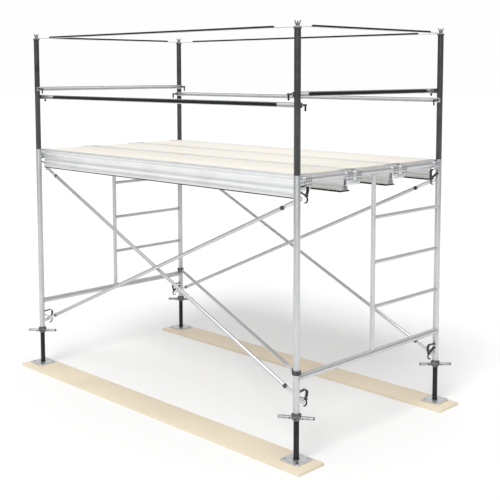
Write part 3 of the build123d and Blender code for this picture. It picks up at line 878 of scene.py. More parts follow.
class SCAFFOLD_OT_base_plates(Operator):
    """Press the base plates, with their nail holes and fold lines"""

    bl_idname = "scaffold.base_plates"
    bl_label = "Base Plates"

    corner_radius: FloatProperty(name="Corner Radius", description="Rounding of the plate's corners",
                                 default=0.016, unit="LENGTH")
    hole_pitch: FloatProperty(name="Hole Pitch", description="Distance between nail holes",
                              default=0.104, unit="LENGTH")
    hole: FloatProperty(name="Hole", description="Diameter of a nail hole", default=0.0125,
                        unit="LENGTH")

    def execute(self, context):
        thickness = plate_high.z - plate_low.z
        half, reach = self.hole_pitch / 2, plate_half
        holes = [(x, y) for x in (-half, half) for y in (-half, half)]
        pressed = block((-reach, -reach, plate_low.z), (reach, reach, plate_high.z))
        with editing(pressed):
            choose("EDGE", lambda edge: abs(edge.verts[0].co.z - edge.verts[1].co.z) > thickness / 2)
            bpy.ops.mesh.bevel(offset=self.corner_radius, segments=7, affect="EDGES")
            choose("EDGE", lambda edge: all(v.co.z > plate_high.z - 0.0001 for v in edge.verts))
            bpy.ops.mesh.bevel(offset=0.003, segments=3, affect="EDGES")
        for x, y in holes:
            cut(pressed, rod((x, y, plate_low.z - 0.01), (x, y, plate_high.z + 0.01),
                             self.hole / 2, 24))
        for y in (-half, half):
            cut(pressed, block((-half, y - 0.0009, plate_high.z - 0.0008),
                               (half, y + 0.0009, plate_high.z + 0.01)))
        softened(pressed, 0.0005, 1, 50)
        bead = weld((0, 0, plate_high.z), Z, X, 0, screw_radius)
        bead.data.materials.append(finish("black"))
        # The nail holes' walls are painted black: painted shade inside the holes.
        painted(pressed, finish("black"), lambda face: abs(face.normal.z) < 0.9 and min(
            abs(hypot(face.center.x - x, face.center.y - y) - self.hole / 2)
            for x, y in holes) < 0.0012)
        pressed = joined([pressed, bead])
        for name, place in corners.items():
            hand_over(copied(pressed, Matrix.Translation(place)), f"base_plate_{name}", "base",
                      finish("bright_zinc"), ["base_plates"])
        removed(pressed)
        return {"FINISHED"}


class SCAFFOLD_OT_jack_screws(Operator):
    """Cut the jack screws"""

    bl_idname = "scaffold.jack_screws"
    bl_label = "Jack Screws"

    plain_foot: FloatProperty(name="Plain Foot", description="Length below the thread", default=0.012,
                              unit="LENGTH")

    def execute(self, context):
        start = screw_low.z + self.plain_foot
        screw = threaded(start - 0.001, screw_high.z, screw_radius, sizes().jack_thread,
                         sizes().jack_pitch)
        foot = rod((0, 0, screw_low.z), (0, 0, start), screw_radius - 0.0004)
        softened(foot, 0.001)
        screw = joined([screw, foot])
        for name, place in corners.items():
            hand_over(copied(screw, Matrix.Translation(place)), f"screw_{name}", "base",
                      finish("black"), ["jack_screws"])
        removed(screw)
        return {"FINISHED"}


class SCAFFOLD_OT_jack_nuts(Operator):
    """Cast the jack nuts: a cup for the leg's foot, a hub and two ribbed arms"""

    bl_idname = "scaffold.jack_nuts"
    bl_label = "Jack Nuts"

    arm_reach: FloatProperty(name="Arm Reach", description="Middle of the nut to an arm's tip",
                             default=0.116, unit="LENGTH")
    arm_width: FloatProperty(name="Arm Width", description="Width of an arm", default=0.026,
                             unit="LENGTH")
    arm_height: FloatProperty(name="Arm Height", description="Depth of an arm", default=0.021,
                              unit="LENGTH")
    # The arms' pins below are black rods put in as painted shade, standing for holes in the arm roots.
    pin_hole: FloatProperty(name="Pin Hole", description="Diameter of the hub's hole and arms' pins",
                            default=0.0115, unit="LENGTH")
    shaded_hole_at: FloatProperty(name="Pin Place", description="Middle of the nut to the pin in an arm's root",
                          default=0.041, unit="LENGTH")
    turns: FloatVectorProperty(name="Turns", description="How far each nut is turned, in degrees",
                               default=nut_turns, size=4)

    def execute(self, context):
        bottom, top = nut_low.z, nut_high.z
        bore = screw_radius + 0.0003
        cup = leg_radius + 0.001
        hub_edge = 0.0345
        hub = lathed([
            (bore, bottom), (0.0240, bottom), (0.0252, bottom + 0.0012), (0.0285, bottom + 0.008),
            (0.0315, bottom + 0.014), (0.0330, bottom + 0.019), (0.0330, bottom + 0.026),
            (0.0312, bottom + 0.029), (0.0312, bottom + 0.032), (0.0330, bottom + 0.0345),
            (0.0332, top - 0.0015), (0.0318, top), (cup + 0.0012, top), (cup, top - 0.0012),
            (cup, leg_foot), (bore, leg_foot)], 48)
        arm_z = bottom + 0.017
        for way in (-1, 1):
            arm = rod((way * 0.026, 0, arm_z), (way * self.arm_reach, 0, arm_z), self.arm_width / 2, 28)
            with editing(arm):
                bpy.ops.transform.resize(value=(1, 1, self.arm_height / self.arm_width),
                                         center_override=(0, 0, arm_z))
                choose("EDGE", lambda edge: all(
                    abs(v.co.x) > self.arm_reach - 0.0001 for v in edge.verts))
                bpy.ops.mesh.bevel(offset=0.006, segments=5, affect="EDGES")
            for side in (-1, 1):
                near, far = sorted((way * 0.052, way * 0.101))
                out, deep = sorted((side * 0.016, side * 0.0075))
                pocket = block((near, out, arm_z - 0.0062), (far, deep, arm_z + 0.0046))
                softened(pocket, 0.003, 3)
                cut(arm, pocket)
            fused(hub, arm)
        cut(hub,
            rod((0, -0.06, top + 0.0190), (0, 0.06, top + 0.0190), 0.022, 40),
            rod((0, 0, bottom - 0.01), (0, 0, leg_foot + 0.001), bore, 40),
            rod((0, 0, leg_foot), (0, 0, top + 0.01), cup, 48),
            rod((0, -0.06, arm_z - 0.001), (0, 0.06, arm_z - 0.001), self.pin_hole / 2, 24))
        softened(hub, 0.0007, 2, 42)
        hub.data.materials.append(finish("pale_casting"))
        painted(hub, finish("grey_casting"),
                lambda face: hypot(face.center.x, face.center.y) < hub_edge)
        # Black on the arm tips, and on the walls of the hub's cross hole as painted shade inside it.
        painted(hub, finish("black"), lambda face: abs(face.center.x) > self.arm_reach - 0.009
                or abs(face.normal.y) < 0.5
                and hypot(face.center.x, face.center.z - arm_z + 0.001) < self.pin_hole / 2 + 0.0006)
        # Black rods through the arm roots are painted shade: dark plugs that stand for the shade in holes
        # there.
        proud = self.arm_width / 2 + 0.0006
        pins = [rod((x, -proud, arm_z - 0.001), (x, proud, arm_z - 0.001), self.pin_hole / 2, 24)
                for x in (-self.shaded_hole_at, self.shaded_hole_at)]
        for pin in pins:
            softened(pin, 0.0008, 2)
            pin.data.materials.append(finish("black"))
        hub = joined([hub, *pins])
        for (name, place), turn in zip(corners.items(), self.turns):
            set_at = Matrix.Translation(place) @ Matrix.Rotation(radians(turn), 4, "Z")
            nut = copied(hub, set_at)
            hand_over(nut, f"nut_{name}", f"jack_nut_{name}", finish("pale_casting"),
                      [f"jack_nut_{name}"])
        removed(hub)
        return {"FINISHED"}


# ---- the end frames ---------------------------------------------------------------------------------------
class SCAFFOLD_OT_frames(Operator):
    """Weld up the two end frames: legs, transom, ledger, inner post and rungs"""

    bl_idname = "scaffold.frames"
    bl_label = "End Frames"

    light_wall: FloatProperty(name="Light Wall", description="Wall of the inner posts and rungs",
                              default=0.0023, unit="LENGTH")

    def coped(self, start, end, radius, wall, hosts):
        """A tube cut to sit against round hosts, each a rod's start, end and radius."""
        piece = rod(start, end, radius, ends="NOTHING")
        applied(piece, "SOLIDIFY", thickness=wall, offset=-1, use_rim=True)
        for host_start, host_end, host_radius in hosts:
            cut(piece, rod(host_start, host_end, host_radius, 64))
        return smoothed(piece)

    def execute(self, context):
        legs = {side: ((half_bay, side * half_width, leg_foot), (half_bay, side * half_width, leg_top),
                       leg_radius) for side in (-1, 1)}
        rungs_z = [rung_low.z + rung_radius + i * (rung_high.z - rung_low.z - 2 * rung_radius) / 2
                   for i in range(3)]
        members = {
            "transom": [self.coped((half_bay, -half_width, transom_z), (half_bay, half_width, transom_z),
                                   transom_radius, sizes().tube_wall, legs.values())],
            "ledger": [self.coped((half_bay, -half_width, ledger_z), (half_bay, half_width, ledger_z),
                                  transom_radius, sizes().tube_wall, legs.values())],
            "inner_post": [self.coped((half_bay, 0, ledger_z), (half_bay, 0, transom_z),
                                      inner_post_radius, self.light_wall,
                                      [((half_bay, -0.1, z), (half_bay, 0.1, z), transom_radius)
                                       for z in (ledger_z, transom_z)])],
            "rungs": [self.coped((half_bay, 0, z), (half_bay, half_width, z), rung_radius,
                                 self.light_wall,
                                 [((half_bay, 0, z - 0.1), (half_bay, 0, z + 0.1), inner_post_radius),
                                  legs[1]]) for z in rungs_z],
        }
        beads = [weld((half_bay, side * half_width, z), -side * Y, X, leg_radius, transom_radius)
                 for side in (-1, 1) for z in (transom_z, ledger_z)]
        beads += [weld((half_bay, 0, z), way * Z, X, transom_radius, inner_post_radius)
                  for z, way in ((ledger_z, 1), (transom_z, -1))]
        beads += [weld((half_bay, y, z), way * Y, X, host, rung_radius)
                  for z in rungs_z for y, way, host in ((half_width, -1, leg_radius),
                                                        (0, 1, inner_post_radius))]
        members["frame_welds"] = beads
        nodes = {"transom": ["frame_transoms"], "ledger": ["frame_ledgers"],
                 "inner_post": ["frame_inner_posts"], "rungs": ["frame_rungs"], "frame_welds": []}
        for name, parts in members.items():
            member = joined(parts)
            made_of = finish("weld" if name == "frame_welds" else "zinc")
            left = copied(member, Matrix.Translation((-2 * half_bay, 0, 0)))
            hand_over(member, f"{name}_right", "tower", made_of, nodes[name])
            hand_over(left, f"{name}_left", "tower", made_of, nodes[name])

        leg = tube((0, 0, leg_foot), (0, 0, leg_top), leg_radius)
        for name, place in corners.items():
            side = "right" if place.x > 0 else "left"
            hand_over(copied(leg, Matrix.Translation(place)), f"leg_{name}", "tower", finish("zinc"),
                      [f"frame_legs_{side}"])
        removed(leg)
        return {"FINISHED"}


# ---- studs and drop locks ---------------------------------------------------------------------------------
# Drawn with the leg centre at the origin, Y into the bay and Z up from the stud.
lock_pivot = (0.086, 0.016)
strap_rises = (0.0744, 0.0479)        # where the bracket's strap meets the leg


class SCAFFOLD_OT_brace_locks(Operator):
    """Forge the brace studs, their brackets and the drop latches"""

    bl_idname = "scaffold.brace_locks"
    bl_label = "Brace Locks"

    strap_width: FloatProperty(name="Strap Width", description="Width of a bracket strap",
                               default=0.020, unit="LENGTH")
    strap_thick: FloatProperty(name="Strap Thickness", description="Thickness of straps and claws",
                               default=0.005, unit="LENGTH")
    claw_radius: FloatProperty(name="Claw Radius", description="Middle radius of the latch's claw",
                               default=0.0195, unit="LENGTH")

    def execute(self, context):
        half = self.strap_width / 2
        latch_half = 0.005
        gap = 0.0003
        pivot_y, pivot_z = lock_pivot
        face = leg_radius - 0.001
        upper, lower = strap_rises
        route = rounded([(face, upper), (0.080, 0.080), (0.099, 0.066), (0.097, 0.042), lock_pivot,
                         (face, lower)], 0.007, 5)
        bracket = strap([(-half, y, z) for y, z in route], 2 * half * X, self.strap_thick)
        eye = rod((-half, pivot_y, pivot_z), (half, pivot_y, pivot_z), 0.008, 32)
        fused(bracket, eye)
        cut(bracket, rod((-latch_half - gap, pivot_y, pivot_z), (latch_half + gap, pivot_y, pivot_z),
                         0.0105, 32))
        softened(bracket, 0.0007, 2)
        pin = rod((-half - 0.0012, pivot_y, pivot_z), (half + 0.0012, pivot_y, pivot_z), 0.003, 20)
        heads = [softened(rod((x - 0.0012, pivot_y, pivot_z), (x + 0.0012, pivot_y, pivot_z), 0.0048,
                              20), 0.0008, 2) for x in (-half - 0.0012, half + 0.0012)]
        beads = [weld((0, 0, z), Y, X, leg_radius, 0.0105) for z in strap_rises]
        for bead, z in zip(beads, strap_rises):
            with editing(bead):
                bpy.ops.transform.resize(value=(1, 1, 0.5), center_override=(0, 0, z))
        bracket = joined([bracket, pin, *heads, *beads])

        claw_points = arc((0.076, -0.009), self.claw_radius, 62, -120, 22)
        claw = strap([(-latch_half, y, z) for y, z in claw_points], 2 * latch_half * X,
                     self.strap_thick)
        knuckle = rod((-latch_half, pivot_y, pivot_z), (latch_half, pivot_y, pivot_z), 0.008, 32)
        fused(claw, knuckle)
        cut(claw, rod((-0.01, pivot_y, pivot_z), (0.01, pivot_y, pivot_z), 0.003 + gap, 24))
        softened(claw, 0.0008, 2)

        stud = rod((0, leg_radius - 0.002, 0), (0, stud_reach, 0), stud_radius, 28)
        with editing(stud):
            choose("EDGE", lambda edge: all(v.co.y > stud_reach - 0.0001 for v in edge.verts))
            bpy.ops.mesh.bevel(offset=0.0025, segments=4, affect="EDGES")
        cut(stud, rod((-0.02, stud_reach - 0.0065, 0), (0.02, stud_reach - 0.0065, 0), 0.0012, 16))
        smoothed(stud)
        stud = joined([stud, weld((0, 0, 0), Y, X, leg_radius, stud_radius)])

        studs, brackets = [], []
        for name, corner in corners.items():
            for level, z in (("low", low_stud_z), ("high", high_stud_z)):
                there = about(corner + Vector((0, 0, z)))
                studs.append(copied(stud, there))
                brackets.append(copied(bracket, there))
                lock = f"brace_lock_{name}_{level}"
                hand_over(copied(claw, there), f"latch_{name}_{level}", lock,
                          finish("dark_casting"), [lock])
        for piece in (stud, bracket, claw):
            removed(piece)
        hand_over(joined(studs), "studs", "tower", finish("zinc"), ["brace_studs"])
        hand_over(joined(brackets), "brackets", "tower", finish("dark_casting"),
                  ["lock_brackets"])
        return {"FINISHED"}


# ---- braces ---------------------------------------------------------------------------------------------
def turned_to(start, along, up):
    """The matrix that lays a piece made along +X, flat side up +Z, from start along a direction."""
    side = up.cross(along).normalized()
    turn = Matrix((along, side, along.cross(side))).transposed()
    return Matrix.Translation(start) @ turn.to_4x4()


def brace_line(node):
    """A cross brace's place across the bay and its tube's radius."""
    low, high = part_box(node)
    return (low.y + high.y) / 2, (high.y - low.y) / 2


class SCAFFOLD_OT_cross_braces(Operator):
    """Make the cross braces: tubes with punched lugs and dark sleeves"""

    bl_idname = "scaffold.cross_braces"
    bl_label = "Cross Braces"

    lug_length: FloatProperty(name="Lug Length", description="Stud to sleeve", default=0.160,
                              unit="LENGTH")
    lug_width: FloatProperty(name="Lug Width", description="Width of a lug", default=0.026,
                             unit="LENGTH")
    lug_thick: FloatProperty(name="Lug Thickness", description="Thickness of a lug", default=0.005,
                             unit="LENGTH")
    sleeve_length: FloatProperty(name="Sleeve Length", description="Length of a sleeve",
                                 default=0.018, unit="LENGTH")
    wall: FloatProperty(name="Wall", description="Wall of a brace tube", default=0.0023,
                        unit="LENGTH")

    def brace_end(self, radius):
        """A lug and a sleeve along +X, with the lug's eye at the origin."""
        half, thick = self.lug_width / 2, self.lug_thick
        outline = arc((0, 0), half, 90, 270, 12) + [
            (self.lug_length - 0.03, -half), (self.lug_length - 0.008, -half * 0.82),
            (self.lug_length + 0.006, -half * 0.82), (self.lug_length + 0.006, half * 0.82),
            (self.lug_length - 0.008, half * 0.82), (self.lug_length - 0.03, half)]
        lug = plate([(x, y, -thick / 2) for x, y in outline], thick * Z)
        cut(lug, rod((0, 0, -0.01), (0, 0, 0.01), stud_radius + 0.0005, 28))
        softened(lug, 0.0009, 2)
        outer = radius + 0.0015
        start, end = self.lug_length, self.lug_length + self.sleeve_length
        sleeve = rod((start, 0, 0), (end, 0, 0), outer)
        with editing(sleeve):
            choose("EDGE", lambda edge: abs(edge.verts[0].co.x - edge.verts[1].co.x) < 0.0001)
            bpy.ops.mesh.bevel(offset=0.0015, segments=3, affect="EDGES")
        smoothed(sleeve)
        return lug, sleeve

    def execute(self, context):
        reach = self.lug_length + self.sleeve_length
        drop = high_stud_z - low_stud_z
        run = hypot(2 * half_bay, drop)
        lug, sleeve = self.brace_end(brace_line("cross_brace_front_falling")[1])
        lugs, sleeves = [], []
        for side, out in (("front", 1), ("back", -1)):
            for kind, sense in (("falling", -1), ("rising", 1)):
                node = f"cross_brace_{side}_{kind}"
                across, radius = brace_line(node)
                start = Vector((-out * half_bay, across,
                                high_stud_z if kind == "falling" else low_stud_z))
                along = Vector((out * 2 * half_bay, 0, sense * drop)).normalized()
                bar = tube(start + along * reach, start + along * (run - reach), radius, self.wall)
                hand_over(bar, f"brace_{side}_{kind}", "tower", finish("zinc"), [node])
                for at, way in ((start, along), (start + along * run, -along)):
                    there = turned_to(at, way, Y)
                    lugs.append(copied(lug, there))
                    sleeves.append(copied(sleeve, there))
        removed(lug)
        removed(sleeve)
        hand_over(joined(lugs), "brace_lugs", "tower", finish("bright_zinc"),
                  ["cross_brace_lugs"])
        hand_over(joined(sleeves), "brace_sleeves", "tower", finish("dark_casting"),
                  ["cross_brace_sleeves"])
        return {"FINISHED"}


class SCAFFOLD_OT_plan_brace(Operator):
    """Make the level brace and the clamps that hold it to two legs"""

    bl_idname = "scaffold.plan_brace"
    bl_label = "Plan Brace"

    end_length: FloatProperty(name="End Length", description="Leg centre to the tube",
                              default=0.165, unit="LENGTH")
    tongue_start: FloatProperty(name="Tongue Start", description="Leg centre to the tongue",
                                default=0.034, unit="LENGTH")
    bolt_at: FloatProperty(name="Bolt", description="Leg centre to the clamp bolt", default=0.050,
                           unit="LENGTH")

    def execute(self, context):
        low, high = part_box("plan_brace")
        clamp_low, clamp_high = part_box("plan_brace_clamps")
        z, radius = (low.z + high.z) / 2, (high.z - low.z) / 2
        height = min(clamp_high.z - z, z - clamp_low.z)
        start, end = Vector((-half_bay, half_width, z)), Vector((half_bay, -half_width, z))
        run, along = (end - start).length, (end - start).normalized()
        bar = tube(start + along * self.end_length, start + along * (run - self.end_length), radius,
                   0.0023)

        tongue_outline = [(self.tongue_start, -0.009), (self.tongue_start + 0.004, -0.012),
                          (self.end_length - 0.045, -0.012), (self.end_length - 0.02, -radius + 0.003),
                          (self.end_length + 0.004, -radius + 0.003)]
        tongue_outline += [(x, -y) for x, y in reversed(tongue_outline)]
        tongue = plate([(x, -0.004, z) for x, z in tongue_outline], 0.008 * Y)
        cut(tongue, rod((self.bolt_at, -0.02, 0), (self.bolt_at, 0.02, 0), 0.0055, 24))
        softened(tongue, 0.001, 2)
        socket = rod((self.end_length - 0.03, 0, 0), (self.end_length + 0.004, 0, 0), radius - 0.0006)
        with editing(socket):
            choose("POINT", lambda point: point.co.x < self.end_length)
            bpy.ops.transform.resize(value=(1, 0.42, 1), center_override=(0, 0, 0))
        softened(socket, 0.001, 2)
        fitting = joined([tongue, socket])

        outer, leg = 0.029, leg_radius
        band = lathed([(leg, -height), (outer - 0.001, -height), (outer, -height + 0.001),
                       (outer, height - 0.001), (outer - 0.001, height), (leg, height)], 48)
        fork = block((leg + 0.002, -0.012, -height), (0.062, 0.012, height))
        with editing(fork):
            choose("EDGE", lambda edge: all(v.co.x > 0.06 for v in edge.verts)
                   and abs(edge.verts[0].co.y - edge.verts[1].co.y) > 0.01)
            bpy.ops.mesh.bevel(offset=height * 0.8, segments=6, affect="EDGES")
        fused(band, fork)
        cut(band, rod((0, 0, -0.05), (0, 0, 0.05), leg, 64))
        cut(band, block((leg + 0.0095, -0.0045, -0.05), (0.08, 0.0045, 0.05)))
        cut(band, block((-0.05, -0.0007, -0.05), (-leg + 0.004, 0.0007, 0.05)))
        lug = block((-outer - 0.010, -0.006, -height * 0.8), (-outer + 0.003, 0.006, height * 0.8))
        cut(lug, block((-0.06, -0.0007, -0.05), (-leg + 0.004, 0.0007, 0.05)))
        softened(band, 0.0008, 2)
        softened(lug, 0.0008, 2)
        bolt = [rod((self.bolt_at, -0.020, 0), (self.bolt_at, 0.020, 0), 0.005, 24),
                rod((self.bolt_at, -0.018, 0), (self.bolt_at, -0.0122, 0), 0.009, 6),
                rod((self.bolt_at, 0.0122, 0), (self.bolt_at, 0.018, 0), 0.009, 6)]
        clamp_bolt = joined([softened(part, 0.0006, 2) for part in bolt])
        clamp = joined([band, lug])

        clamps, fittings, bolts = [], [], []
        for at, way in ((start, along), (end, -along)):
            there = turned_to(at, way, Z)
            clamps.append(copied(clamp, there))
            fittings.append(copied(fitting, there))
            bolts.append(copied(clamp_bolt, there))
        for piece in (clamp, fitting, clamp_bolt):
            removed(piece)
        hand_over(bar, "plan_brace_tube", "tower", finish("zinc"), ["plan_brace"])
        hand_over(joined(fittings), "plan_brace_tongues", "tower", finish("bright_zinc"))
        hand_over(joined(clamps), "clamps", "tower", finish("dark_casting"),
                  ["plan_brace_clamps"])
        hand_over(joined(bolts), "clamp_bolts", "tower", finish("bright_zinc"))
        return {"FINISHED"}


# ---- planks ---------------------------------------------------------------------------------------------
panel_boxes = {name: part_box(f"deck_panel_{name}") for name in ("front", "middle", "back")}
plank_middles = {name: (low.y + high.y) / 2 for name, (low, high) in panel_boxes.items()}
plank_pitch = plank_middles["middle"] - plank_middles["front"]
rails_low, rails_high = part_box("deck_side_rails")
deck_top = rails_high.z
plank_half = rails_high.x
plank_width = rails_high.y - rails_low.y - 2 * plank_pitch
headers_low, headers_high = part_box("deck_headers")
hooks_low, hooks_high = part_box("deck_hooks")
lock_low, lock_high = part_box("wind_locks_right")
lock_span = (0.084, 0.150)        # plank edge to each side of a wind lock


def on_planks(piece):
    """Copies of a right-end piece, made on a plank centred on y = 0, for each plank and end."""
    copies = []
    for y in plank_middles.values():
        for turn in (0, pi):
            there = Matrix.Translation((0, y, 0)) @ Matrix.Rotation(turn, 4, "Z")
            copies.append(copied(piece, there))
    removed(piece)
    return copies


class SCAFFOLD_OT_plank_rails(Operator):
    """Extrude the planks' side rails"""

    bl_idname = "scaffold.plank_rails"
    bl_label = "Plank Rails"

    arris: FloatProperty(name="Arris", description="Rounding of the extrusion's edges",
                         default=0.0007, unit="LENGTH")
    # sole: where the rail's black-painted foot begins, painted shade along its bottom.
    sole: FloatProperty(name="Sole", description="Deck to the top of a rail's dark sole strip",
                        default=0.1425, unit="LENGTH")

    def execute(self, context):
        edge = -plank_width / 2
        # millimetres in from the plank's edge and up from the deck; the black-painted foot, painted shade
        # along the rail's bottom, starts at -143
        outline = [
            (0, 0), (38, 0), (38, -46), (10, -46), (10, -117), (26, -117), (26, -143), (46, -143),
            (46, -150), (0, -150), (0, -143), (0, -117), (4, -117), (4, -105), (0, -105), (0, -84),
            (4, -84), (4, -46), (0, -46), (0, -25), (2, -23), (0, -21)]
        rail = plate([(-plank_half, edge + u / 1000, deck_top + w / 1000) for u, w in outline],
                     2 * plank_half * X)
        for (u_low, w_low), (u_high, w_high) in (((5, -42), (33, -4)), ((4, -140), (22, -121))):
            hollow = block((-plank_half - 0.1, edge + u_low / 1000, deck_top + w_low / 1000),
                           (plank_half + 0.1, edge + u_high / 1000, deck_top + w_high / 1000))
            cut(rail, hollow)
        softened(rail, self.arris, 2)
        rail.data.materials.append(finish("aluminium"))
        # The foot under sole is painted black as painted shade along the rail's bottom; the end faces are
        # painted black too.
        painted(rail, finish("black_rib_and_shade"), lambda face: face.center.z < deck_top - self.sole
                or abs(face.normal.x) > 0.9)
        for name, y in plank_middles.items():
            there = Matrix.Translation((0, y, 0))
            pair = joined([copied(rail, there), copied(rail, there @ Matrix.Rotation(pi, 4, "Z"))])
            hand_over(pair, f"side_rails_{name}", "tower", finish("aluminium"),
                      ["deck_side_rails"])
        removed(rail)
        return {"FINISHED"}


class SCAFFOLD_OT_deck_panels(Operator):
    """Cut the plywood panels and rivet them to the crossbars"""

    bl_idname = "scaffold.deck_panels"
    bl_label = "Deck Panels"

    arris: FloatProperty(name="Arris", description="Rounding of a panel's edges", default=0.0012,
                         unit="LENGTH")

    def execute(self, context):
        bars_low, bars_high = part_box("deck_crossbars")
        bar_half, bar_wall = 0.020, 0.0025
        bars_x = [bars_low.x + bar_half + i * (bars_high.x - bars_low.x - 2 * bar_half) / 4
                  for i in range(5)]
        for name, (low, high) in panel_boxes.items():
            panel = softened(block(low, high), self.arris, 3)
            hand_over(panel, f"panel_{name}", "tower", finish("plywood"),
                      [f"deck_panel_{name}"])
            rivets = []
            for x in bars_x:
                for share in (-0.42, 0, 0.42):
                    y = plank_middles[name] + share * (high.y - low.y)
                    rivet = rod((x, y, high.z - 0.002), (x, y, high.z + 0.0012), 0.005, 20)
                    rivets.append(softened(rivet, 0.001, 2))
            hand_over(joined(rivets), f"deck_rivets_{name}", "tower", finish("bright_zinc"))

        ring, inner = ([(-half, low), (half, low), (half, high), (-half, high)] for half, low, high in (
            (bar_half, bars_low.z, bars_high.z),
            (bar_half - bar_wall, bars_low.z + bar_wall, bars_high.z - bar_wall)))
        panel_low, panel_high = panel_boxes["middle"]
        bar = plate([(x, panel_low.y, z) for x, z in rounded(ring, 0.003, 3, True)],
                    (panel_high.y - panel_low.y) * Y)
        core = plate([(x, panel_low.y - 0.1, z) for x, z in rounded(inner, 0.0015, 3, True)], 0.8 * Y)
        cut(bar, core)
        softened(bar, 0.0005, 1, 60)
        for name, y in plank_middles.items():
            bars = [copied(bar, Matrix.Translation((x, y, 0))) for x in bars_x]
            hand_over(joined(bars), f"crossbars_{name}", "tower", finish("aluminium"),
                      ["deck_crossbars"])
        removed(bar)
        return {"FINISHED"}


class SCAFFOLD_OT_plank_ends(Operator):
    """Make the planks' end channels, with the slots that guide the wind locks"""

    bl_idname = "scaffold.plank_ends"
    bl_label = "Plank Ends"

    width: FloatProperty(name="Width", description="Width of an end channel", default=0.040,
                         unit="LENGTH")
    depth: FloatProperty(name="Depth", description="Depth of an end channel", default=0.044,
                         unit="LENGTH")
    guide_span: FloatVectorProperty(name="Guide Span", size=2, default=(0.012, 0.157),
                                    description="Plank edge to each side of a wind lock's guide")

    def execute(self, context):
        panel_low, panel_high = panel_boxes["middle"]
        top = headers_high.z
        outer = plank_half
        web = 0.004
        channel = plate([(x, panel_low.y, z) for x, z in (
            (outer, top), (outer, top - self.depth), (outer - self.width, top - self.depth),
            (outer - self.width, top - self.depth + web), (outer - web, top - self.depth + web),
            (outer - web, top - web), (outer - self.width, top - web), (outer - self.width, top))],
            (panel_high.y - panel_low.y) * Y)
        guide_near, guide_far = (-plank_width / 2 + inset for inset in self.guide_span)
        lock_near, lock_far = (-plank_width / 2 + inset for inset in lock_span)
        guide_bottom = headers_low.z
        face = outer - 0.003
        guide = block((face - 0.006, guide_near, guide_bottom),
                      (face, guide_far, top - self.depth + 0.001))
        with editing(guide):
            choose("EDGE", lambda edge: all(v.co.z < guide_bottom + 0.001 for v in edge.verts)
                   and abs(edge.verts[0].co.x - edge.verts[1].co.x) > 0.002)
            bpy.ops.mesh.bevel(offset=0.006, segments=5, affect="EDGES")
        cut(guide, block((face - 0.05, lock_near - 0.001, lock_low.z - 0.002),
                         (face + 0.05, lock_far + 0.001, lock_high.z + 0.002)))
        bolts = []
        for y in (guide_near + 0.020, guide_far - 0.020):
            bolts.append(rod((face - 0.001, y, top - 0.054), (face + 0.0025, y, top - 0.054),
                             0.006, 6))
        parts = [softened(channel, 0.0008, 2), softened(guide, 0.0006, 2)]
        parts += [softened(bolt, 0.0006, 2) for bolt in bolts]
        ends = on_planks(joined(parts))
        for name, pair in zip(plank_middles, zip(ends[0::2], ends[1::2])):
            hand_over(joined(pair), f"end_channels_{name}", "tower", finish("aluminium"),
                      ["deck_headers"])
        return {"FINISHED"}


class SCAFFOLD_OT_plank_hooks(Operator):
    """Cast the plank hooks, with their ribbed cells"""

    bl_idname = "scaffold.plank_hooks"
    bl_label = "Plank Hooks"

    width: FloatProperty(name="Width", description="Width of a hook", default=0.060, unit="LENGTH")
    cell_wall: FloatProperty(name="Cell Wall", description="Half the rib between two cells",
                             default=0.0032, unit="LENGTH")
    cell_depth: FloatProperty(name="Cell Depth", description="Depth of a cell", default=0.0045,
                              unit="LENGTH")
    near: FloatProperty(name="Near Hook", description="Plank edge to the near hook's middle",
                        default=0.054, unit="LENGTH")
    far: FloatProperty(name="Far Hook", description="Plank edge to the far hook's middle",
                       default=0.455, unit="LENGTH")

    def hook(self, y):
        """One hook over the right transom, centred on y."""
        outer = hooks_high.x - half_bay
        inner = transom_radius + 0.0003
        tip = hooks_low.z
        back = plank_half + 0.0002
        around = [(half_bay + u, transom_z + w) for u, w in arc((0, 0), outer, 0, 96, 5)]
        top_level = 0.0298
        outline = [(half_bay + outer, tip)] + around + [
            (back, transom_z + top_level), (back, transom_z - 0.030), (half_bay - inner, transom_z - 0.030)]
        outline += [(half_bay + u, transom_z + w) for u, w in arc((0, 0), inner, 180, 0, 18)]
        outline += [(half_bay + inner, tip + 0.004), (half_bay + inner + 0.003, tip)]
        made = plate([(x, y - self.width / 2, z) for x, z in outline], self.width * Y)
        with editing(made):
            for i in range(1, 4):
                bpy.ops.mesh.select_all(action="SELECT")
                at = y - self.width / 2 + self.width * i / 4
                bpy.ops.mesh.bisect(plane_co=(0, at, 0), plane_no=(0, 1, 0))
            bpy.ops.mesh.select_all(action="SELECT")
            bpy.ops.mesh.bisect(plane_co=(0, 0, transom_z - 0.019), plane_no=(0, 0, 1))
            axis = Vector((half_bay, 0, transom_z))

            def is_outer(face):
                here = face.calc_center_median() - axis
                here.y = 0
                out = abs(face.normal.y) < 0.1 and here.length > outer * 0.8
                return out and face.normal.dot(here) > 0 and face.normal.z > -0.5 and here.x > -0.046
            choose("FACE", is_outer)
            bpy.ops.mesh.inset(thickness=self.cell_wall, use_individual=True)
            bpy.ops.mesh.extrude_region_shrink_fatten(
                TRANSFORM_OT_shrink_fatten={"value": -self.cell_depth})
            shape = bmesh.from_edit_mesh(made.data)
            shaded_cell_floors = [face.index for face in shape.faces if face.select]
        # The cells' floors are painted black: painted shade in the recesses.
        made.data.materials.append(finish("cast_aluminium"))
        made.data.materials.append(finish("black"))
        for index in shaded_cell_floors:
            made.data.polygons[index].material_index = 1
        return made

    def execute(self, context):
        hooks = joined([self.hook(-plank_width / 2 + inset) for inset in (self.near, self.far)])
        smoothed(hooks, 30)
        ends = on_planks(hooks)
        for name, pair in zip(plank_middles, zip(ends[0::2], ends[1::2])):
            hand_over(joined(pair), f"hooks_{name}", "tower", finish("cast_aluminium"),
                      ["deck_hooks"])
        return {"FINISHED"}


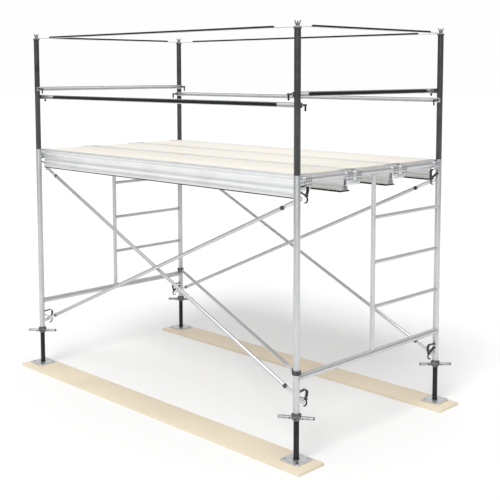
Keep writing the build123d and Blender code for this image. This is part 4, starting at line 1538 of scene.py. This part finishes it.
class SCAFFOLD_OT_wind_locks(Operator):
    """Fold the sliding wind locks"""

    bl_idname = "scaffold.wind_locks"
    bl_label = "Wind Locks"

    def execute(self, context):
        near, far = (-plank_width / 2 + inset for inset in lock_span)
        tongue = block((lock_low.x, near, lock_low.z), (lock_high.x, far, lock_high.z))
        slot = plate([(lock_low.x + 0.06 + x, (near + far) / 2 + y, lock_high.z - 0.02)
                      for x, y in slot_outline(0.060, 0.012)], 0.04 * Z)
        cut(tongue, slot)
        softened(tongue, 0.0014, 3)
        for end, turn in (("right", 0), ("left", pi)):
            locks = [copied(tongue, Matrix.Translation((0, y, 0)) @ Matrix.Rotation(turn, 4, "Z"))
                     for y in plank_middles.values()]
            hand_over(joined(locks), f"lock_tongues_{end}", f"wind_locks_{end}",
                      finish("bright_zinc"), [f"wind_locks_{end}"])
        removed(tongue)
        return {"FINISHED"}


# ---- guard rails -----------------------------------------------------------------------------------------
posts_low, posts_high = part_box("guard_posts")
guard_radius = posts_high.x - half_bay
_, caps_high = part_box("guard_post_caps")
cap_radius = caps_high.x - half_bay
cap_top = posts_high.z + 0.008


class SCAFFOLD_OT_guard_posts(Operator):
    """Make the guard posts with their caps, studs and wing nuts"""

    bl_idname = "scaffold.guard_posts"
    bl_label = "Guard Posts"

    stud: FloatProperty(name="Cap Stud", description="Diameter of a cap's stud", default=0.012,
                        unit="LENGTH")
    turns: FloatVectorProperty(name="Turns", description="How far each wing nut is turned, in degrees",
                               default=nut_turns, size=4)

    def wing_nut(self):
        low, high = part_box("wing_nut_front_right")
        bottom, top = low.z, high.z
        bore = self.stud / 2 + 0.0003
        hub = lathed([(bore, bottom), (0.0115, bottom), (0.012, bottom + 0.0006),
                      (0.0105, bottom + 0.0125), (0.0085, bottom + 0.016), (bore, bottom + 0.016)], 32)
        for way in (-1, 1):
            wing = rounded([(way * 0.007, bottom + 0.003), (way * 0.0125, bottom + 0.006),
                            (way * 0.021, top - 0.0004), (way * 0.0135, top - 0.0004),
                            (way * 0.0085, bottom + 0.0145)], 0.0022, 4, True)
            ear = plate([(x, -0.0026, z) for x, z in wing], 0.0052 * Y)
            fused(hub, ear)
        cut(hub, rod((0, 0, bottom - 0.01), (0, 0, top), bore, 32))
        return softened(hub, 0.0009, 2)

    def execute(self, context):
        post = tube((0, 0, leg_top), (0, 0, posts_high.z), guard_radius, 0.003)
        spigot = tube((0, 0, posts_low.z), (0, 0, leg_top + 0.01), 0.01825, 0.003)
        post = joined([post, spigot])
        cap = lathed([(0.0001, cap_top - 0.008), (cap_radius - 0.001, cap_top - 0.008),
                      (cap_radius, cap_top - 0.007), (cap_radius, cap_top - 0.0015),
                      (cap_radius - 0.0015, cap_top), (0.0001, cap_top)], 40)
        smoothed(cap)
        thread = threaded(cap_top - 0.001, caps_high.z, self.stud / 2, 0.0007, 0.00175, 16)
        cap = joined([cap, thread])
        wing_nut = self.wing_nut()
        caps = []
        for (name, place), turn in zip(corners.items(), self.turns):
            there = Matrix.Translation(place)
            hand_over(copied(post, there), f"guard_post_{name}", "tower", finish("charcoal"),
                      ["guard_posts"])
            caps.append(copied(cap, there))
            hand_over(copied(wing_nut, there @ Matrix.Rotation(radians(turn), 4, "Z")),
                      f"wings_{name}", f"wing_nut_{name}", finish("grey_casting"),
                      [f"wing_nut_{name}"])
        for piece in (post, cap, wing_nut):
            removed(piece)
        hand_over(joined(caps), "post_caps", "tower", finish("charcoal"),
                  ["guard_post_caps"])
        return {"FINISHED"}


class SCAFFOLD_OT_rail_pins(Operator):
    """Make the rail pins and the toggles that drop across their tips"""

    bl_idname = "scaffold.rail_pins"
    bl_label = "Rail Pins"

    reach: FloatProperty(name="Reach", description="Post centre to a pin's tip", default=0.081,
                         unit="LENGTH")
    pivot: FloatProperty(name="Pivot", description="Post centre to a toggle's pivot", default=0.073,
                         unit="LENGTH")
    diameter: FloatProperty(name="Diameter", description="Diameter of a pin", default=0.014,
                            unit="LENGTH")

    def execute(self, context):
        thick, width, length, pin = 0.0044, 0.014, 0.046, 0.002
        face = guard_radius - 0.001
        radius = self.diameter / 2
        bar = rod((face, 0, 0), (self.reach, 0, 0), radius, 32)
        with editing(bar):
            choose("EDGE", lambda edge: all(v.co.x > self.reach - 0.0001 for v in edge.verts))
            bpy.ops.mesh.bevel(offset=0.0015, segments=3, affect="EDGES")
        cut(bar, block((self.reach - 0.018, -thick / 2 - 0.0003, -0.02),
                       (self.reach + 0.01, thick / 2 + 0.0003, 0.02)))
        softened(bar, 0.0003, 1, 50)
        rivet = rod((self.pivot, -radius + 0.0008, 0), (self.pivot, radius - 0.0008, 0), pin, 16)
        bead = weld((0, 0, 0), X, Y, guard_radius, radius)
        bar = joined([bar, rivet, bead])

        toggle = plate([(self.pivot + x, -thick / 2, width / 2 - length / 2 + z)
                        for z, x in slot_outline(length, width, 10)], thick * Y)
        cut(toggle, rod((self.pivot, -0.01, 0), (self.pivot, 0.01, 0), pin + 0.0003, 20))
        softened(toggle, 0.0007, 2)
        pins = []
        for name, place in corners.items():
            for kind in ("long", "side"):
                height = pivots[f"toggle_swing_{name}_{kind}"].z
                if kind == "long":
                    turn = pi / 2 * inward(place)
                else:
                    turn = pi if place.x > 0 else 0
                there = Matrix.Translation(place + height * Z) @ Matrix.Rotation(turn, 4, "Z")
                pins.append(copied(bar, there))
                node = f"rail_toggle_{name}_{kind}"
                hand_over(copied(toggle, there), f"toggle_{name}_{kind}", node, finish("black"),
                          [node])
        removed(bar)
        removed(toggle)
        hand_over(joined(pins), "pins", "tower", finish("dark_casting"),
                  ["rail_pins"])
        return {"FINISHED"}


class SCAFFOLD_OT_guard_rails(Operator):
    """Punch the guard rails and press on their black ribs"""

    bl_idname = "scaffold.guard_rails"
    bl_label = "Guard Rails"

    strip_thick: FloatProperty(name="Strip", description="Thickness of a rail strip", default=0.004,
                               unit="LENGTH")
    rib_width: FloatProperty(name="Rib Width", description="Width of a rib", default=0.022,
                             unit="LENGTH")
    rib_height: FloatProperty(name="Rib Height", description="How far a rib stands off its strip",
                              default=0.012, unit="LENGTH")
    rib_long: FloatProperty(name="Long Rib", description="Length of a long rail's rib", default=2.470,
                            unit="LENGTH")
    rib_side: FloatProperty(name="Side Rib", description="Length of a side rail's rib", default=1.260,
                            unit="LENGTH")
    end_hole: FloatProperty(name="End Hole", description="Strip's end to the middle of its hole",
                            default=0.020, unit="LENGTH")

    def rail(self, length, rib_length, hole):
        """A strip along X on z = 0, its rib up +Z."""
        width = 0.033
        corners_at = [(-length / 2, -width / 2), (length / 2, -width / 2), (length / 2, width / 2),
                      (-length / 2, width / 2)]
        strip = plate([(x, y, 0) for x, y in rounded(corners_at, 0.008, 5, True)],
                      self.strip_thick * Z)
        for x in (self.end_hole - length / 2, length / 2 - self.end_hole):
            cut(strip, rod((x, 0, -0.02), (x, 0, 0.02), hole / 2, 28))
        softened(strip, 0.0007, 2)
        rib = plate([(x, y, self.strip_thick) for x, y in slot_outline(rib_length, self.rib_width, 12)],
                    self.rib_height * Z)
        top = self.strip_thick + self.rib_height
        with editing(rib):
            choose("EDGE", lambda edge: all(v.co.z > top - 0.0001 for v in edge.verts))
            bpy.ops.mesh.bevel(offset=self.rib_width / 2 - 0.0016, segments=6, affect="EDGES")
        smoothed(rib, 40)
        return strip, rib

    def execute(self, context):
        for node, hole in (("long_mid_rails", 0.016), ("long_top_rails", 0.013),
                           ("side_mid_rails", 0.016), ("side_top_rails", 0.013)):
            low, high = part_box(node)
            is_long, is_top = "long" in node, "top" in node
            length = high.x - low.x if is_long else high.y - low.y
            strip, rib = self.rail(length, self.rib_long if is_long else self.rib_side, hole)
            turn = Matrix.Rotation(0 if is_long else pi / 2, 4, "Z")
            if is_top:
                out, z = half_width if is_long else half_bay, low.z
            else:
                out, z = high.y if is_long else high.x, (low.z + high.z) / 2
                out -= self.strip_thick + self.rib_height
            strips, ribs = [], []
            for way in (-1, 1):
                at = Vector((0, way * out, z)) if is_long else Vector((way * out, 0, z))
                if is_top:
                    tilt = Matrix.Identity(4)
                elif is_long:
                    tilt = Matrix.Rotation(-way * pi / 2, 4, "X")
                else:
                    tilt = Matrix.Rotation(way * pi / 2, 4, "Y")
                there = Matrix.Translation(at) @ tilt @ turn
                strips.append(copied(strip, there))
                ribs.append(copied(rib, there))
            removed(strip)
            removed(rib)
            hand_over(joined(strips), node.replace("rails", "strips"), "tower",
                      finish("bright_zinc"), [node])
            hand_over(joined(ribs), node.replace("rails", "ribs"), "tower", finish("black_rib_and_shade"))
        return {"FINISHED"}


# ---- panel and registration --------------------------------------------------------------------------------
operators = (
    SCAFFOLD_OT_stage, SCAFFOLD_OT_boards, SCAFFOLD_OT_base_plates, SCAFFOLD_OT_jack_screws,
    SCAFFOLD_OT_jack_nuts, SCAFFOLD_OT_frames, SCAFFOLD_OT_brace_locks, SCAFFOLD_OT_cross_braces,
    SCAFFOLD_OT_plan_brace, SCAFFOLD_OT_plank_rails, SCAFFOLD_OT_deck_panels,
    SCAFFOLD_OT_plank_ends, SCAFFOLD_OT_plank_hooks, SCAFFOLD_OT_wind_locks,
    SCAFFOLD_OT_guard_posts, SCAFFOLD_OT_rail_pins, SCAFFOLD_OT_guard_rails,
)


class SCAFFOLD_PT_pieces(Panel):
    """Buttons for each group of pieces"""

    bl_idname = "SCAFFOLD_PT_pieces"
    bl_label = "Walk-in Scaffold"
    bl_space_type = "VIEW_3D"
    bl_region_type = "UI"
    bl_category = "Scaffold"

    def draw(self, context):
        for operator in operators:
            self.layout.operator(operator.bl_idname)
        for group in (context.scene.scaffold_sizes, context.scene.scaffold_colours):
            for name in group.__annotations__:
                self.layout.prop(group, name)


classes = (ScaffoldSizes, ScaffoldColours, *operators, SCAFFOLD_PT_pieces)


def register():
    for cls in classes:
        bpy.utils.register_class(cls)
    bpy.types.Scene.scaffold_sizes = PointerProperty(type=ScaffoldSizes)
    bpy.types.Scene.scaffold_colours = PointerProperty(type=ScaffoldColours)


def unregister():
    del bpy.types.Scene.scaffold_sizes
    del bpy.types.Scene.scaffold_colours
    for cls in reversed(classes):
        bpy.utils.unregister_class(cls)


def main():
    register()
    for operator in operators:
        group, name = operator.bl_idname.split(".")
        getattr(getattr(bpy.ops, group), name)()


if __name__ == "__main__":
    main()
